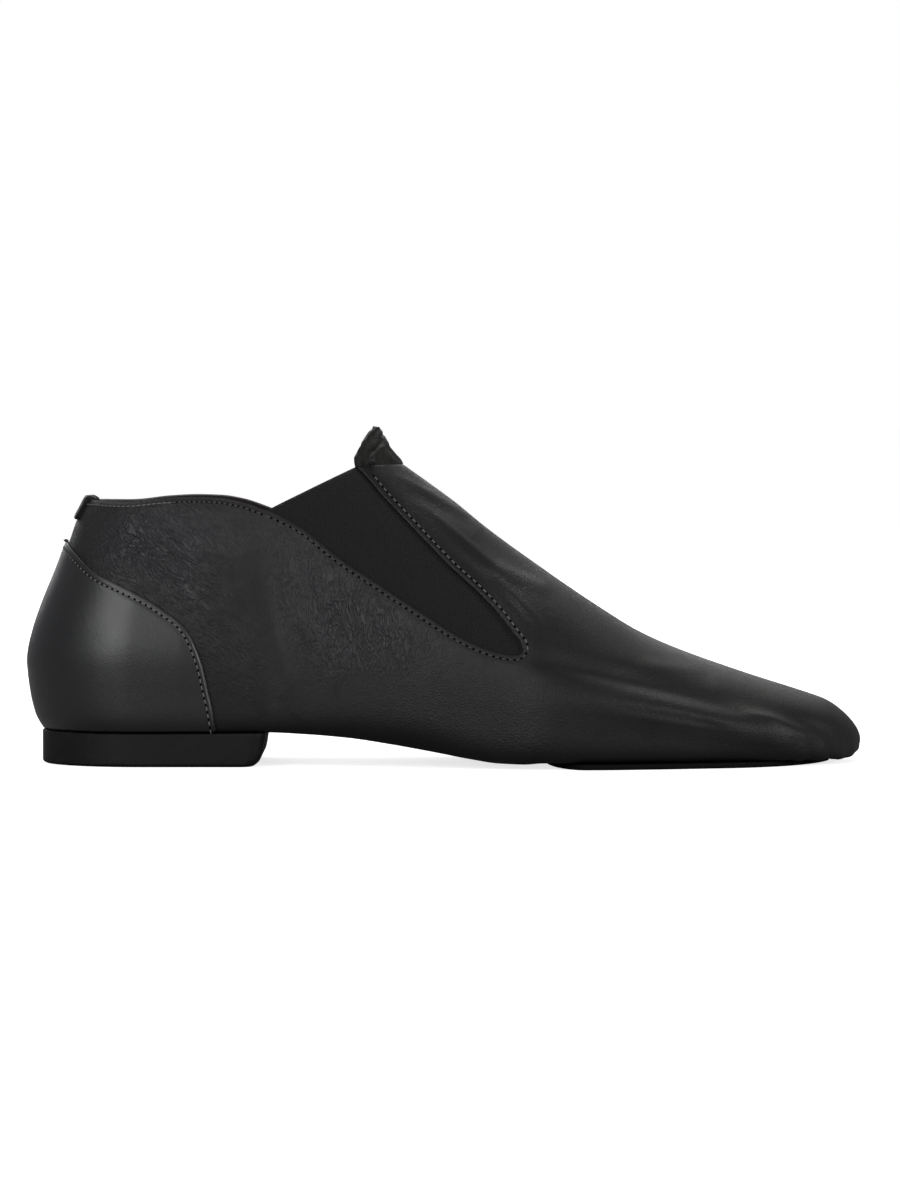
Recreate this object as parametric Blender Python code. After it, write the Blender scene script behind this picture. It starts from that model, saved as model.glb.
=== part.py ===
# A slip-on leather jazz shoe with a split sole, for the right foot.
# Metres, toe along +X, outer side of the foot along -Y, inner side along +Y, floor at z = 0.

import math

import bmesh
import bpy
import numpy as np

# Outline of the whole shoe
LENGTH = 0.250
BALL_WIDTH = 0.088
COLLAR_HEIGHT = 0.0792
INSTEP_HEIGHT = 0.0896
TIP_HEIGHT = 0.0065

# Sole pieces
HEEL_HEIGHT = 0.010
HEEL_LENGTH = 0.0677
HEEL_CORNER = 0.004
HEEL_SETBACK = 0.0024
HEEL_REACH = 0.0015
PAD_THICKNESS = 0.0016
PAD_EDGE = 0.0005
PAD_REACH = 0.0030
PAD_BLUNT = 0.012
PAD_FRONT_ROUND = 0.032
PAD_SPRING = 0.0003
INSOLE_THICKNESS = 0.0015
INSOLE_CLEARANCE = 0.0010

# Leather, elastic and the air left between two pieces
WALL = 0.0013
COUNTER_THICKNESS = 0.0008
ELASTIC_THICKNESS = 0.0012
SEAM_MARGIN = 0.005
GAP = 0.0003

# Counter and tabs
COUNTER_HEIGHT = 0.066
FRONT_TAB_HEIGHT = 0.0112
FRONT_TAB_THICKNESS = 0.0018
BACK_TAB_WIDTH = 0.012
BACK_TAB_DROP = 0.0062
BACK_TAB_THICKNESS = 0.0008

# Roundings of the last, seen from above and from the side
HEEL_ROUND = 0.030
TOE_ROUND = 0.030
TIP_ROUND = 0.012
UNDER_ROUND = 0.007
LEAN_REACH = 0.075

# Exponents of the section over the foot: 2 and 2 would be an ellipse
CROWN_RISE, CROWN_SIDE = 2.1, 2.1

# Points nearer than this are merged
MERGE = 2e-6

OUTER, INNER = -1, 1

# The upper's own ends: the counter stands proud of its rear end
REAR = -LENGTH / 2 + GAP + COUNTER_THICKNESS
TIP = LENGTH / 2
SPAN = TIP - REAR


def table(columns, *rows):
    """A table of shares as one array for each named column."""
    return dict(zip(columns.split(), np.array(rows, float).T))


# Ridge of the closed last. along: share of the upper's length. height: share of the instep height.
RIDGE = table(
    "along height",
    (0.000, 1.250),
    (0.200, 1.250),
    (0.320, 1.200),
    (0.390, 1.110),
    (0.445, 1.000),
    (0.508, 0.873),
    (0.545, 0.789),
    (0.617, 0.644),
    (0.690, 0.507),
    (0.726, 0.445),
    (0.763, 0.396),
    (0.853, 0.304),
    (0.944, 0.222),
    (1.000, 0.165),
)

# Height of the widest level above the bottom, as a share of the instep height
WIDEST = table(
    "along height",
    (0.000, 0.235),
    (0.280, 0.200),
    (0.420, 0.200),
    (0.600, 0.165),
    (0.700, 0.140),
    (0.850, 0.100),
    (1.000, 0.060),
)

# Bottom of the upper. fall: 1 on the heel seat, 0 on the forefoot pad.
ARCH = table(
    "along fall",
    (0.000, 1.000),
    (0.281, 1.000),
    (0.333, 0.920),
    (0.381, 0.790),
    (0.430, 0.580),
    (0.490, 0.285),
    (0.526, 0.100),
    (0.560, -0.030),
    (0.590, -0.050),
    (0.612, 0.000),
    (0.890, 0.000),
    (0.930, -0.030),
    (0.962, -0.045),
    (1.000, -0.120),
)

# Half widths at the widest level and the sideways bend of the centre line, as shares of the ball width
PLAN = table(
    "along outer inner bend",
    (0.000, 0.337, 0.337, 0.000),
    (0.120, 0.337, 0.337, 0.000),
    (0.260, 0.331, 0.322, 0.000),
    (0.380, 0.349, 0.309, 0.000),
    (0.460, 0.392, 0.320, 0.002),
    (0.540, 0.455, 0.372, 0.006),
    (0.625, 0.515, 0.449, 0.015),
    (0.675, 0.513, 0.478, 0.022),
    (0.740, 0.488, 0.461, 0.033),
    (0.820, 0.440, 0.401, 0.050),
    (0.890, 0.394, 0.348, 0.062),
    (0.940, 0.358, 0.314, 0.068),
    (1.000, 0.300, 0.275, 0.072),
)

# Turn from wall to bottom. inset: share of the ball width. square: exponent, high for a tight turn.
FEATHER = table(
    "along inset square",
    (0.000, 0.035, 8.0),
    (0.280, 0.040, 7.0),
    (0.430, 0.080, 4.0),
    (0.600, 0.055, 4.5),
    (0.850, 0.046, 3.8),
    (1.000, 0.040, 3.2),
)

# Back line of the heel. height: share of the collar height. lean: share of the upper's length.
BACK_LINE = table(
    "height lean",
    (0.125, 0.0190),
    (0.145, 0.0130),
    (0.200, 0.0048),
    (0.275, 0.0012),
    (0.375, 0.0000),
    (0.500, 0.0064),
    (0.625, 0.0167),
    (0.750, 0.0313),
    (0.850, 0.0426),
    (0.925, 0.0510),
    (1.000, 0.0631),
    (1.050, 0.0700),
)

# Top edge of the quarter, then lower seam of the gore down to its tip. height: share of the collar height.
TOPLINE = table(
    "along height",
    (0.000, 1.001),
    (0.056, 0.996),
    (0.116, 1.009),
    (0.165, 1.014),
    (0.209, 1.011),
    (0.241, 0.999),
    (0.282, 0.962),
    (0.321, 0.905),
    (0.369, 0.788),
    (0.418, 0.685),
    (0.466, 0.588),
    (0.502, 0.515),
    (0.538, 0.459),
    (0.564, 0.434),
    (0.590, 0.424),
)
GORE_START = 0.282
GORE_TIP = TOPLINE["along"][-1]

# Front seam of the gore, from the top of the vamp to the gore's tip.
# rise: 1 at the instep height, 0 at the tip.
GORE_FRONT = table(
    "along rise",
    (0.390, 1.000),
    (0.405, 0.932),
    (0.449, 0.717),
    (0.477, 0.584),
    (0.504, 0.465),
    (0.534, 0.346),
    (0.562, 0.212),
    (0.578, 0.118),
    (0.585, 0.048),
    (0.590, 0.000),
)

# Place along the upper where the ridge reaches the instep height, and depth of the vamp's top edge
VAMP_TOP = RIDGE["along"][list(RIDGE["height"]).index(1.0)]
VAMP_DEPTH = (VAMP_TOP - GORE_FRONT["along"][0]) * SPAN

# How far the elastic reaches under the leather, along and upwards, as shares of the seam margin
GORE_MARGIN = {
    "lower": (-0.35, -0.94),
    "front": (0.80, 0.45),
    "lower top": (-0.90, -0.42),
    "front top": (0.95, -0.20),
}
# Share of the way by which the elastic's rows close towards each other past the gore's tip
GORE_CLOSING = 0.8

# Front edge of the counter. height: share of the counter height.
COUNTER_EDGE = table(
    "height along",
    (0.175, 0.220),
    (0.255, 0.218),
    (0.350, 0.213),
    (0.456, 0.207),
    (0.550, 0.197),
    (0.636, 0.182),
    (0.676, 0.169),
    (0.700, 0.158),
    (0.751, 0.134),
    (0.794, 0.107),
    (0.830, 0.080),
    (0.862, 0.058),
    (0.915, 0.033),
    (1.000, 0.000),
)

# Front tab. rise: share of its height. front and back: shares of the depth of the vamp's top edge.
FRONT_TAB = table(
    "rise front back",
    (0.000, 0.000, 1.000),
    (0.160, 0.060, 1.015),
    (0.375, 0.190, 0.985),
    (0.590, 0.316, 0.882),
    (0.800, 0.426, 0.735),
    (0.930, 0.490, 0.640),
    (1.000, 0.520, 0.560),
)

# Heel block. height and setback of the breast: shares of the heel height. inset: of the corner radius.
HEEL_LEVELS = table(
    "height setback inset",
    (0.000, 0.420, 0.240),
    (0.030, 0.340, 0.110),
    (0.080, 0.270, 0.000),
    (0.180, 0.170, 0.000),
    (0.350, 0.100, 0.000),
    (0.700, 0.040, 0.000),
    (0.970, 0.000, 0.000),
    (1.000, 0.000, 0.050),
)

# Places along the upper where the bottom is open, and the share of its width that is open
HEEL_OPENING = (0.0355, 0.265)
FOREFOOT_OPENING = (0.660, 0.880)
OPEN_SHARE = 0.72

# Forefoot pad: its ends along the upper, and the place where its front end starts to lift
PAD_START = 0.617
PAD_END = 0.962
PAD_FLAT_END = 0.890

# Insole: its ends along the upper
INSOLE_START = 0.016
INSOLE_END = 0.945

# Rows of the turn from wall to bottom: shares of the way down from the widest level
TURN_ROWS = (0.95, 0.85, 0.65, 0.35, 0)


def smooth(known, values):
    """A curve through the rows of a table that never swings past them."""
    step = np.diff(known)
    slope = np.diff(values) / step
    tangent = np.concatenate([slope[:1], np.zeros(len(slope) - 1), slope[-1:]])
    for i in range(1, len(slope)):
        if slope[i - 1] * slope[i] > 0:
            before = 2 * step[i] + step[i - 1]
            after = step[i] + 2 * step[i - 1]
            tangent[i] = (before + after) / (before / slope[i - 1] + after / slope[i])

    def at(place):
        place = np.clip(place, known[0], known[-1])
        i = np.clip(np.searchsorted(known, place, side="right") - 1, 0, len(step) - 1)
        t = (place - known[i]) / step[i]
        return (
            values[i] * (1 + 2 * t) * (1 - t) ** 2
            + tangent[i] * step[i] * t * (1 - t) ** 2
            + values[i + 1] * (3 - 2 * t) * t**2
            + tangent[i + 1] * step[i] * (t - 1) * t**2
        )

    return at


ridge_height = smooth(RIDGE["along"], RIDGE["height"] * INSTEP_HEIGHT)
widest_rise = smooth(WIDEST["along"], WIDEST["height"] * INSTEP_HEIGHT)
arch_fall = smooth(ARCH["along"], ARCH["fall"])
centre_bend = smooth(PLAN["along"], PLAN["bend"] * BALL_WIDTH)
reach = {
    OUTER: smooth(PLAN["along"], PLAN["outer"] * BALL_WIDTH),
    INNER: smooth(PLAN["along"], PLAN["inner"] * BALL_WIDTH),
}
feather_inset = smooth(FEATHER["along"], FEATHER["inset"] * BALL_WIDTH)
feather_square = smooth(FEATHER["along"], FEATHER["square"])
back_lean = smooth(BACK_LINE["height"] * COLLAR_HEIGHT, BACK_LINE["lean"] * SPAN)
topline = smooth(TOPLINE["along"], TOPLINE["height"] * COLLAR_HEIGHT)
counter_edge = smooth(COUNTER_EDGE["height"] * COUNTER_HEIGHT, COUNTER_EDGE["along"])


def rounding(distance, size):
    """Quarter circle: 0 at the very end, 1 from one size away."""
    return np.sqrt(1 - (1 - np.clip(distance / size, 0, 1)) ** 2)


def levels(along):
    """Heights of the bottom, the widest level and the ridge at a place along the upper."""
    seat = HEEL_HEIGHT + GAP
    pad = PAD_THICKNESS + GAP
    low = pad + (seat - pad) * arch_fall(along)
    under = rounding((1 - along) * SPAN, UNDER_ROUND)
    over = rounding((1 - along) * SPAN, TIP_ROUND)
    bent = (low, under), (low + widest_rise(along), over), (ridge_height(along), over)
    return tuple(TIP_HEIGHT + (height - TIP_HEIGHT) * turn for height, turn in bent)


def plan_rounding(along):
    """Share of the width that the round heel and the round toe leave."""
    return rounding(along * SPAN, HEEL_ROUND) * rounding((1 - along) * SPAN, TOE_ROUND)


def station(along, height):
    """X of a place along the upper, with the forward lean of the back line."""
    far = np.clip(along * SPAN / LEAN_REACH, 0, 1)
    return REAR + along * SPAN + back_lean(height) * (1 - far) ** 2 * (1 + 2 * far)


def skin(side, along, height):
    """Points of the upper's outer surface on one side, at places along it and heights."""
    low, middle, top = levels(along)
    crown = np.clip((height - middle) / np.maximum(top - middle, 1e-9), 0, 1)
    below = np.clip((middle - height) / np.maximum(middle - low, 1e-9), 0, 1)
    inset = feather_inset(along)
    over = reach[side](along) * (1 - crown**CROWN_RISE) ** (1 / CROWN_SIDE)
    under = reach[side](along) - inset * (1 - np.sqrt(1 - below ** feather_square(along)))
    half = plan_rounding(along) * np.where(height >= middle, over, under)
    flat = centre_bend(along) + side * half
    return np.stack(np.broadcast_arrays(station(along, height), flat, height), axis=-1)


def flat_half(side, along):
    """Half width of the flat bottom on one side."""
    return plan_rounding(along) * (reach[side](along) - feather_inset(along))


def open_half(side, along):
    """Half width of the openings cut in the bottom, 0 where it is closed."""
    found = np.zeros_like(along)
    for start, end in (HEEL_OPENING, FOREFOOT_OPENING):
        off = (along - (start + end) / 2) / ((end - start) / 2)
        found = found + np.sqrt(np.clip(1 - off**2, 0, 1))
    found = np.where(found < 1e-3, 0, found)
    return OPEN_SHARE * flat_half(side, along) * found


def bottom(side, along, share):
    """Points of the flat bottom, from its opening or centre line (0) to its edge (1)."""
    near = open_half(side, along)
    low = levels(along)[0]
    flat = centre_bend(along) + side * (near + share * (flat_half(side, along) - near))
    return np.stack(np.broadcast_arrays(station(along, low), flat, low), axis=-1)


def around_heel(count):
    """Places along the heel's round, evenly spread around it."""
    return HEEL_ROUND / SPAN * (1 - np.cos(np.linspace(0, math.pi / 2, count + 1)))


def around_toe(count):
    """Places along the toe's round, evenly spread around it."""
    return 1 - TOE_ROUND / SPAN * (1 - np.cos(np.linspace(math.pi / 2, 0, count + 1)))


def material(name, colour, roughness, metallic=0.0):
    """A plain Principled material."""
    made = bpy.data.materials.new(name)
    made.use_nodes = True
    shader = made.node_tree.nodes["Principled BSDF"]
    shader.inputs["Base Color"].default_value = (*colour, 1)
    shader.inputs["Roughness"].default_value = roughness
    shader.inputs["Metallic"].default_value = metallic
    return made


def add_grid(mesh, points, flip):
    """Adds a grid of points to a bmesh as quads."""
    corners = [[mesh.verts.new(point) for point in row] for row in points]
    for first, second in zip(corners, corners[1:]):
        for i in range(len(first) - 1):
            face = [first[i], first[i + 1], second[i + 1], second[i]]
            mesh.faces.new(face[::-1] if flip else face)


def finish(name, mesh, surface, wall=0.0):
    """Turns a bmesh into a named object, with its wall laid inside the sheet if it has one."""
    bmesh.ops.remove_doubles(mesh, verts=mesh.verts, dist=MERGE)
    if not wall:
        bmesh.ops.recalc_face_normals(mesh, faces=mesh.faces)
        if mesh.calc_volume(signed=True) < 0:
            bmesh.ops.reverse_faces(mesh, faces=mesh.faces)
    data = bpy.data.meshes.new(name)
    mesh.to_mesh(data)
    mesh.free()
    data.shade_smooth()
    data.materials.append(surface)
    made = bpy.data.objects.new(name, data)
    bpy.context.scene.collection.objects.link(made)
    if wall:
        solid = made.modifiers.new("Wall", "SOLIDIFY")
        solid.thickness = wall
        solid.offset = -1
        solid.use_even_offset = False
    return made


def push(mesh, distance):
    """Moves a sheet along its own normals, outwards where the distance is positive."""
    bmesh.ops.remove_doubles(mesh, verts=mesh.verts, dist=MERGE)
    mesh.normal_update()
    moves = [vert.normal.copy() * distance for vert in mesh.verts]
    for vert, move in zip(mesh.verts, moves):
        vert.co += move


def make_upper(surface):
    """One wall of leather around the foot, open at the collar, the gores and under both soles."""
    mesh = bmesh.new()
    places = np.unique(
        np.concatenate(
            [
                around_heel(8),
                np.linspace(HEEL_ROUND / SPAN, HEEL_OPENING[1], 6),
                np.linspace(HEEL_OPENING[1], GORE_TIP, 13),
                np.linspace(GORE_TIP, FOREFOOT_OPENING[0], 3),
                np.linspace(FOREFOOT_OPENING[0], 1 - TOE_ROUND / SPAN, 8),
                around_toe(8),
            ]
        ).round(6)
    )
    front = places[places >= GORE_TIP - 1e-6]
    tip_height = topline(GORE_TIP)
    low, middle, top = levels(GORE_TIP)
    split_share = (tip_height - middle) / (top - middle)
    steps = np.sin(np.linspace(0, math.pi / 2, 8))
    for side in (OUTER, INNER):
        rows = [bottom(side, places, share) for share in (0, 0.5, 1)]
        low, middle, top = levels(places)
        for below in (0.99, *TURN_ROWS):
            rows.append(skin(side, places, middle - below * (middle - low)))
        split = middle + split_share * (top - middle)
        edge = np.where(places > GORE_TIP + 1e-6, split, topline(places))
        for share in np.linspace(0, 1, 7)[1:]:
            rows.append(skin(side, places, middle + share * (edge - middle)))
        add_grid(mesh, rows, side == INNER)

        low, middle, top = levels(front)
        split = middle + split_share * (top - middle)
        rows = [skin(side, front, split + step * (top - split)) for step in steps]
        add_grid(mesh, rows, side == INNER)

        seam_height = tip_height + GORE_FRONT["rise"] * (INSTEP_HEIGHT - tip_height)
        crest = VAMP_TOP + (1 - GORE_FRONT["rise"]) * (GORE_TIP - VAMP_TOP)
        rows = []
        for step in steps:
            along = GORE_FRONT["along"] + step * (crest - GORE_FRONT["along"])
            height = seam_height + step * (levels(crest)[2] - seam_height)
            rows.append(skin(side, along, height))
        add_grid(mesh, rows, side == INNER)
    return finish("upper", mesh, surface, WALL)


def gore_outline():
    """Lower seam and front seam of the gore as matching rows of (along, height), top to tip."""
    tip_height = topline(GORE_TIP)
    rise = GORE_FRONT["rise"]
    front = np.stack([GORE_FRONT["along"], tip_height + rise * (INSTEP_HEIGHT - tip_height)], -1)
    lower_along = GORE_START + (1 - rise) * (GORE_TIP - GORE_START)
    lower = np.stack([lower_along, topline(lower_along)], -1)
    return lower, front


def make_gore(name, side, surface):
    """Elastic panel under the leather's edges, with a free top edge."""
    lower, front = gore_outline()
    margin = {
        seam: np.array([along * SEAM_MARGIN / SPAN, height * SEAM_MARGIN])
        for seam, (along, height) in GORE_MARGIN.items()
    }
    under, past = lower + margin["lower"], front + margin["front"]
    under[0] = lower[0] + margin["lower top"]
    past[0] = front[0] + margin["front top"]
    rows = [under]
    rows += [lower + share * (front - lower) for share in np.linspace(0, 1, 8)]
    rows.append(past)
    closing = (under[-1] + past[-1]) / 2
    points = []
    for row in rows:
        end = row[-1] + GORE_CLOSING * (closing - row[-1])
        line = np.concatenate([row[:-1], [end]])
        points.append(skin(side, line[:, 0], line[:, 1]))
    mesh = bmesh.new()
    add_grid(mesh, points, side == INNER)
    push(mesh, -(WALL + GAP))
    return finish(name, mesh, surface, ELASTIC_THICKNESS)


def walk_of(along):
    """Distance walked round the heel and on along the side, from the back line."""
    turn = np.arccos(1 - np.minimum(along * SPAN / HEEL_ROUND, 1))
    return HEEL_ROUND * turn + np.maximum(along * SPAN - HEEL_ROUND, 0)


def along_of(walk):
    """Place along the upper after a walk from the back line."""
    arc = HEEL_ROUND * math.pi / 2
    round_part = HEEL_ROUND * (1 - np.cos(np.minimum(walk, arc) / HEEL_ROUND))
    return (round_part + np.maximum(walk - arc, 0)) / SPAN


def make_counter(surface):
    """Leather counter wrapped round the heel, just outside the upper."""
    mesh = bmesh.new()
    low, middle, _ = levels(HEEL_ROUND / SPAN)
    down = [(below, middle - below * (middle - low)) for below in TURN_ROWS]
    seam_heights = np.linspace(middle, COUNTER_HEIGHT, 60)
    seam = np.stack([walk_of(counter_edge(seam_heights)), seam_heights], -1)
    length = np.concatenate([[0], np.cumsum(np.linalg.norm(np.diff(seam, axis=0), axis=1))])
    even = np.interp(np.linspace(0, length[-1], 18)[1:], length, seam_heights)
    up = [(0, height) for height in even]
    for side in (OUTER, INNER):
        rows = []
        for below, height in down + up:
            along = along_of(np.linspace(0, walk_of(counter_edge(height)), 11))
            floor, widest, _ = levels(along)
            row_height = height if height > middle else widest - below * (widest - floor)
            rows.append(skin(side, along, row_height + 0 * along))
        add_grid(mesh, rows, side == INNER)
    push(mesh, GAP + COUNTER_THICKNESS)
    return finish("heel_counter", mesh, surface, COUNTER_THICKNESS)


def make_front_tab(surface):
    """Flared tab that carries the vamp's top edge upwards."""
    mesh = bmesh.new()
    heights = INSTEP_HEIGHT + np.maximum(FRONT_TAB["rise"] * FRONT_TAB_HEIGHT, GAP)
    search = np.linspace(RIDGE["along"][1], GORE_TIP, 400)
    crest = np.interp(-heights, -ridge_height(search), search)
    front_x = station(VAMP_TOP, INSTEP_HEIGHT) - FRONT_TAB["front"] * VAMP_DEPTH
    back_x = station(VAMP_TOP, INSTEP_HEIGHT) - FRONT_TAB["back"] * VAMP_DEPTH
    flare = front_x - station(crest, heights)
    edge = crest - (front_x - back_x) / SPAN
    for side in (OUTER, INNER):
        rows = []
        for step in np.sin(np.linspace(0, math.pi / 2, 8)):
            points = skin(side, edge + step * (crest - edge), heights)
            points[:, 0] += flare
            rows.append(points)
        add_grid(mesh, rows, side == OUTER)
    return finish("front_tab", mesh, surface, FRONT_TAB_THICKNESS)


def on_heel(turn, height, depth):
    """A point near the back line: turn is the signed angle round the heel, depth goes inwards."""

    def outside(angle, level):
        along = HEEL_ROUND / SPAN * (1 - math.cos(angle))
        return skin(INNER if angle >= 0 else OUTER, np.array(along), np.array(level))

    step = 1e-4
    sideways = outside(turn + step, height) - outside(turn - step, height)
    upwards = outside(turn, height + step) - outside(turn, height - step)
    normal = np.cross(upwards, sideways)
    return outside(turn, height) - depth * normal / np.linalg.norm(normal)


def make_back_tab(surface):
    """Small strip folded over the collar's edge at the back seam."""
    edge = topline(0.0)
    out, inside = -GAP, WALL + 2 * GAP
    skin_out, skin_in = out - BACK_TAB_THICKNESS, inside + BACK_TAB_THICKNESS
    inner_drop = 0.8 * BACK_TAB_DROP
    crown = GAP + BACK_TAB_THICKNESS
    profile = [
        (-BACK_TAB_DROP, out),
        (-BACK_TAB_DROP, skin_out),
        (0, skin_out),
        (0.8 * crown, 0.7 * skin_out),
        (crown, WALL / 2),
        (0.8 * crown, inside + 0.5 * BACK_TAB_THICKNESS),
        (0, skin_in),
        (-inner_drop, skin_in),
        (-inner_drop, inside),
        (GAP, inside),
        (GAP, out),
    ]
    collar_half = skin(INNER, np.array(HEEL_ROUND / SPAN), edge)[1]
    reach_turn = math.asin(BACK_TAB_WIDTH / 2 / collar_half)
    mesh = bmesh.new()
    rings = []
    for turn in np.linspace(-reach_turn, reach_turn, 9):
        ring = [on_heel(turn, edge + rise, depth) for rise, depth in profile]
        rings.append([mesh.verts.new(point) for point in ring])
    bridge(mesh, rings)
    return finish("back_tab", mesh, surface)


def bridge(mesh, rings):
    """Joins rings of vertices into a closed body with a cap at each end."""
    for first, second in zip(rings, rings[1:]):
        for i in range(len(first)):
            j = (i + 1) % len(first)
            mesh.faces.new([first[i], first[j], second[j], second[i]])
    mesh.faces.new(rings[0][::-1])
    mesh.faces.new(rings[-1])


def heel_rear():
    """X of the heel block's rear end, just behind the lower edge of the upper's back line."""
    return REAR + back_lean(HEEL_HEIGHT) - HEEL_SETBACK


def heel_outline(inset, breast):
    """Plan of the heel block: a round back, straight sides and rounded front corners."""
    half = flat_half(OUTER, HEEL_ROUND / SPAN) + HEEL_REACH - inset
    middle_x, middle_y = breast - HEEL_CORNER, half - HEEL_CORNER
    side = []
    for turn in np.linspace(0, math.pi / 2, 13):
        x = heel_rear() + inset + HEEL_ROUND * (1 - math.cos(turn))
        side.append((x, half * math.sin(turn)))
    for turn in np.linspace(math.pi / 2, 0, 6):
        x = middle_x + HEEL_CORNER * math.cos(turn)
        side.append((x, middle_y + HEEL_CORNER * math.sin(turn)))
    return side + [(x, -y) for x, y in side[:0:-1]]


def make_heel(surface):
    """Low rubber heel block with a rounded lower breast edge."""
    mesh = bmesh.new()
    rings = []
    for height, setback, inset in zip(*HEEL_LEVELS.values()):
        breast = heel_rear() + HEEL_LENGTH - setback * HEEL_HEIGHT
        outline = heel_outline(inset * HEEL_CORNER, breast)
        rings.append([mesh.verts.new((x, y, height * HEEL_HEIGHT)) for x, y in outline])
    bridge(mesh, rings)
    return finish("heel", mesh, surface)


def slab(name, rows, tops, edge, surface):
    """A thin body from a grid of bottom points up to the tops, one for each row, lower edge eased."""
    mesh = bmesh.new()
    lowest = np.array(rows)
    rim = np.zeros(lowest.shape[:2], bool)
    rim[[0, -1], :] = True
    rim[:, [0, -1]] = True
    lowest[..., 2] += np.where(rim, edge, 0)
    highest = np.array(rows)
    highest[..., 2] = np.array(tops)[:, None]
    add_grid(mesh, lowest, True)
    add_grid(mesh, highest, False)
    back = slice(None, None, -1)
    loops = [(0, slice(None)), (slice(None), -1), (-1, back), (back, 0)]
    low_rim = np.concatenate([lowest[loop][:-1] for loop in loops])
    high_rim = np.concatenate([highest[loop][:-1] for loop in loops])
    around = [np.concatenate([ring, ring[:1]]) for ring in (low_rim, high_rim)]
    add_grid(mesh, around, False)
    return finish(name, mesh, surface)


def make_forefoot_sole(surface):
    """Thin pad under the ball and toes, with a slight lift at its front end."""
    start, end = PAD_START * SPAN, PAD_END * SPAN
    easing = 2 * PAD_EDGE
    inner_places = np.concatenate(
        [
            start + easing + PAD_BLUNT * (1 - np.cos(np.linspace(0, math.pi / 2, 5))),
            np.linspace(start + 2 * easing + PAD_BLUNT, end - 2 * easing - PAD_FRONT_ROUND, 5),
            end - easing - PAD_FRONT_ROUND * (1 - np.cos(np.linspace(math.pi / 2, 0, 7))),
        ]
    )
    places = np.concatenate([[start], inner_places, [end]]) / SPAN
    across = np.array([-1, -0.97, -0.7, -0.35, 0, 0.35, 0.7, 0.97, 1])
    rows = []
    for along in places:
        turn = rounding(along * SPAN - start + 0.4 * PAD_EDGE, PAD_BLUNT)
        turn *= rounding(end - along * SPAN + 0.4 * PAD_EDGE, PAD_FRONT_ROUND)
        lift = np.clip((along - PAD_FLAT_END) / (PAD_END - PAD_FLAT_END), 0, 1)
        row = []
        for share in across:
            side = INNER if share > 0 else OUTER
            full = reach[side](along) - feather_inset(along) + PAD_REACH
            flat = centre_bend(along) + share * turn * full
            row.append((REAR + along * SPAN, flat, PAD_SPRING * lift**2))
        rows.append(row)
    return slab("forefoot_sole", rows, levels(places)[0] - GAP, PAD_EDGE, surface)


def make_insole(surface):
    """Thin sock of leather over the upper's inner bottom."""
    places = np.concatenate(
        [
            INSOLE_START + around_heel(6),
            np.linspace(INSOLE_START + HEEL_ROUND / SPAN, 1 - TOE_ROUND / SPAN, 18)[1:],
            np.linspace(1 - TOE_ROUND / SPAN, INSOLE_END, 4)[1:],
        ]
    )
    across = np.linspace(-1, 1, 7)
    rows = []
    for along in places:
        low = levels(along)[0]
        row = []
        for share in across:
            side = INNER if share > 0 else OUTER
            half = max(flat_half(side, along) - INSOLE_CLEARANCE, INSOLE_CLEARANCE)
            row.append((station(along, low), centre_bend(along) + share * half, low + WALL + GAP))
        rows.append(row)
    tops = levels(places)[0] + WALL + GAP + INSOLE_THICKNESS
    return slab("insole", rows, tops, 0, surface)


def main():
    for thing in list(bpy.data.objects):
        bpy.data.objects.remove(thing)
    leather = material("soft leather", (0.012, 0.012, 0.013), 0.45)
    panel = material("counter leather", (0.016, 0.016, 0.018), 0.35)
    elastic = material("elastic", (0.008, 0.008, 0.009), 0.9)
    tab = material("tab leather", (0.018, 0.017, 0.016), 0.5)
    rubber = material("heel rubber", (0.010, 0.010, 0.010), 0.6)
    suede = material("pad rubber", (0.009, 0.009, 0.009), 0.8)
    lining = material("insole leather", (0.030, 0.028, 0.026), 0.8)
    make_upper(leather)
    make_counter(panel)
    make_gore("gore_outer", OUTER, elastic)
    make_gore("gore_inner", INNER, elastic)
    make_front_tab(tab)
    make_back_tab(tab)
    make_insole(lining)
    make_heel(rubber)
    make_forefoot_sole(suede)


main()
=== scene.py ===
# Looks of a black slip-on jazz shoe: leather with its creases, elastic gores, seams, tabs and soles.
import math

import bpy
import numpy as np
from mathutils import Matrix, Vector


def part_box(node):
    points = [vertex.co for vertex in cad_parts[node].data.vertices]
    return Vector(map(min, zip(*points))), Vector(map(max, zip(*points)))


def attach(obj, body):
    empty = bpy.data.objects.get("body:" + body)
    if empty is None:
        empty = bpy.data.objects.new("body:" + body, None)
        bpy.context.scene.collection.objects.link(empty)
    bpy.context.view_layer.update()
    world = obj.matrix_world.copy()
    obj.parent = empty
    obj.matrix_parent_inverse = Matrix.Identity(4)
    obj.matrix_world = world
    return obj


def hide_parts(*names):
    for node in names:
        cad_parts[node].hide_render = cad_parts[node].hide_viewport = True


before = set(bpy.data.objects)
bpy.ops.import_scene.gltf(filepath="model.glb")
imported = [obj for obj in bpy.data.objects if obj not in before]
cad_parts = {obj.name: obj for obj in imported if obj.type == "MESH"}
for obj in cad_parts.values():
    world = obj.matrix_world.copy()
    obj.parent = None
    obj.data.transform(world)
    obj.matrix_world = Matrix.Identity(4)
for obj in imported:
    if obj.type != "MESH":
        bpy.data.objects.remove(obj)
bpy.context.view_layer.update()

print("frame loaded")

# Sizes of the last, in metres, read from the frame where it holds them
upperLow, upperHigh = [list(corner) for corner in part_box("upper")]
heelLow, heelHigh = [list(corner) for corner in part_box("heel")]
padLow, padHigh = [list(corner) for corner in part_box("forefoot_sole")]
rear = upperLow[0]
tip = upperHigh[0]
span = tip - rear
instepHeight = upperHigh[2]

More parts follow.
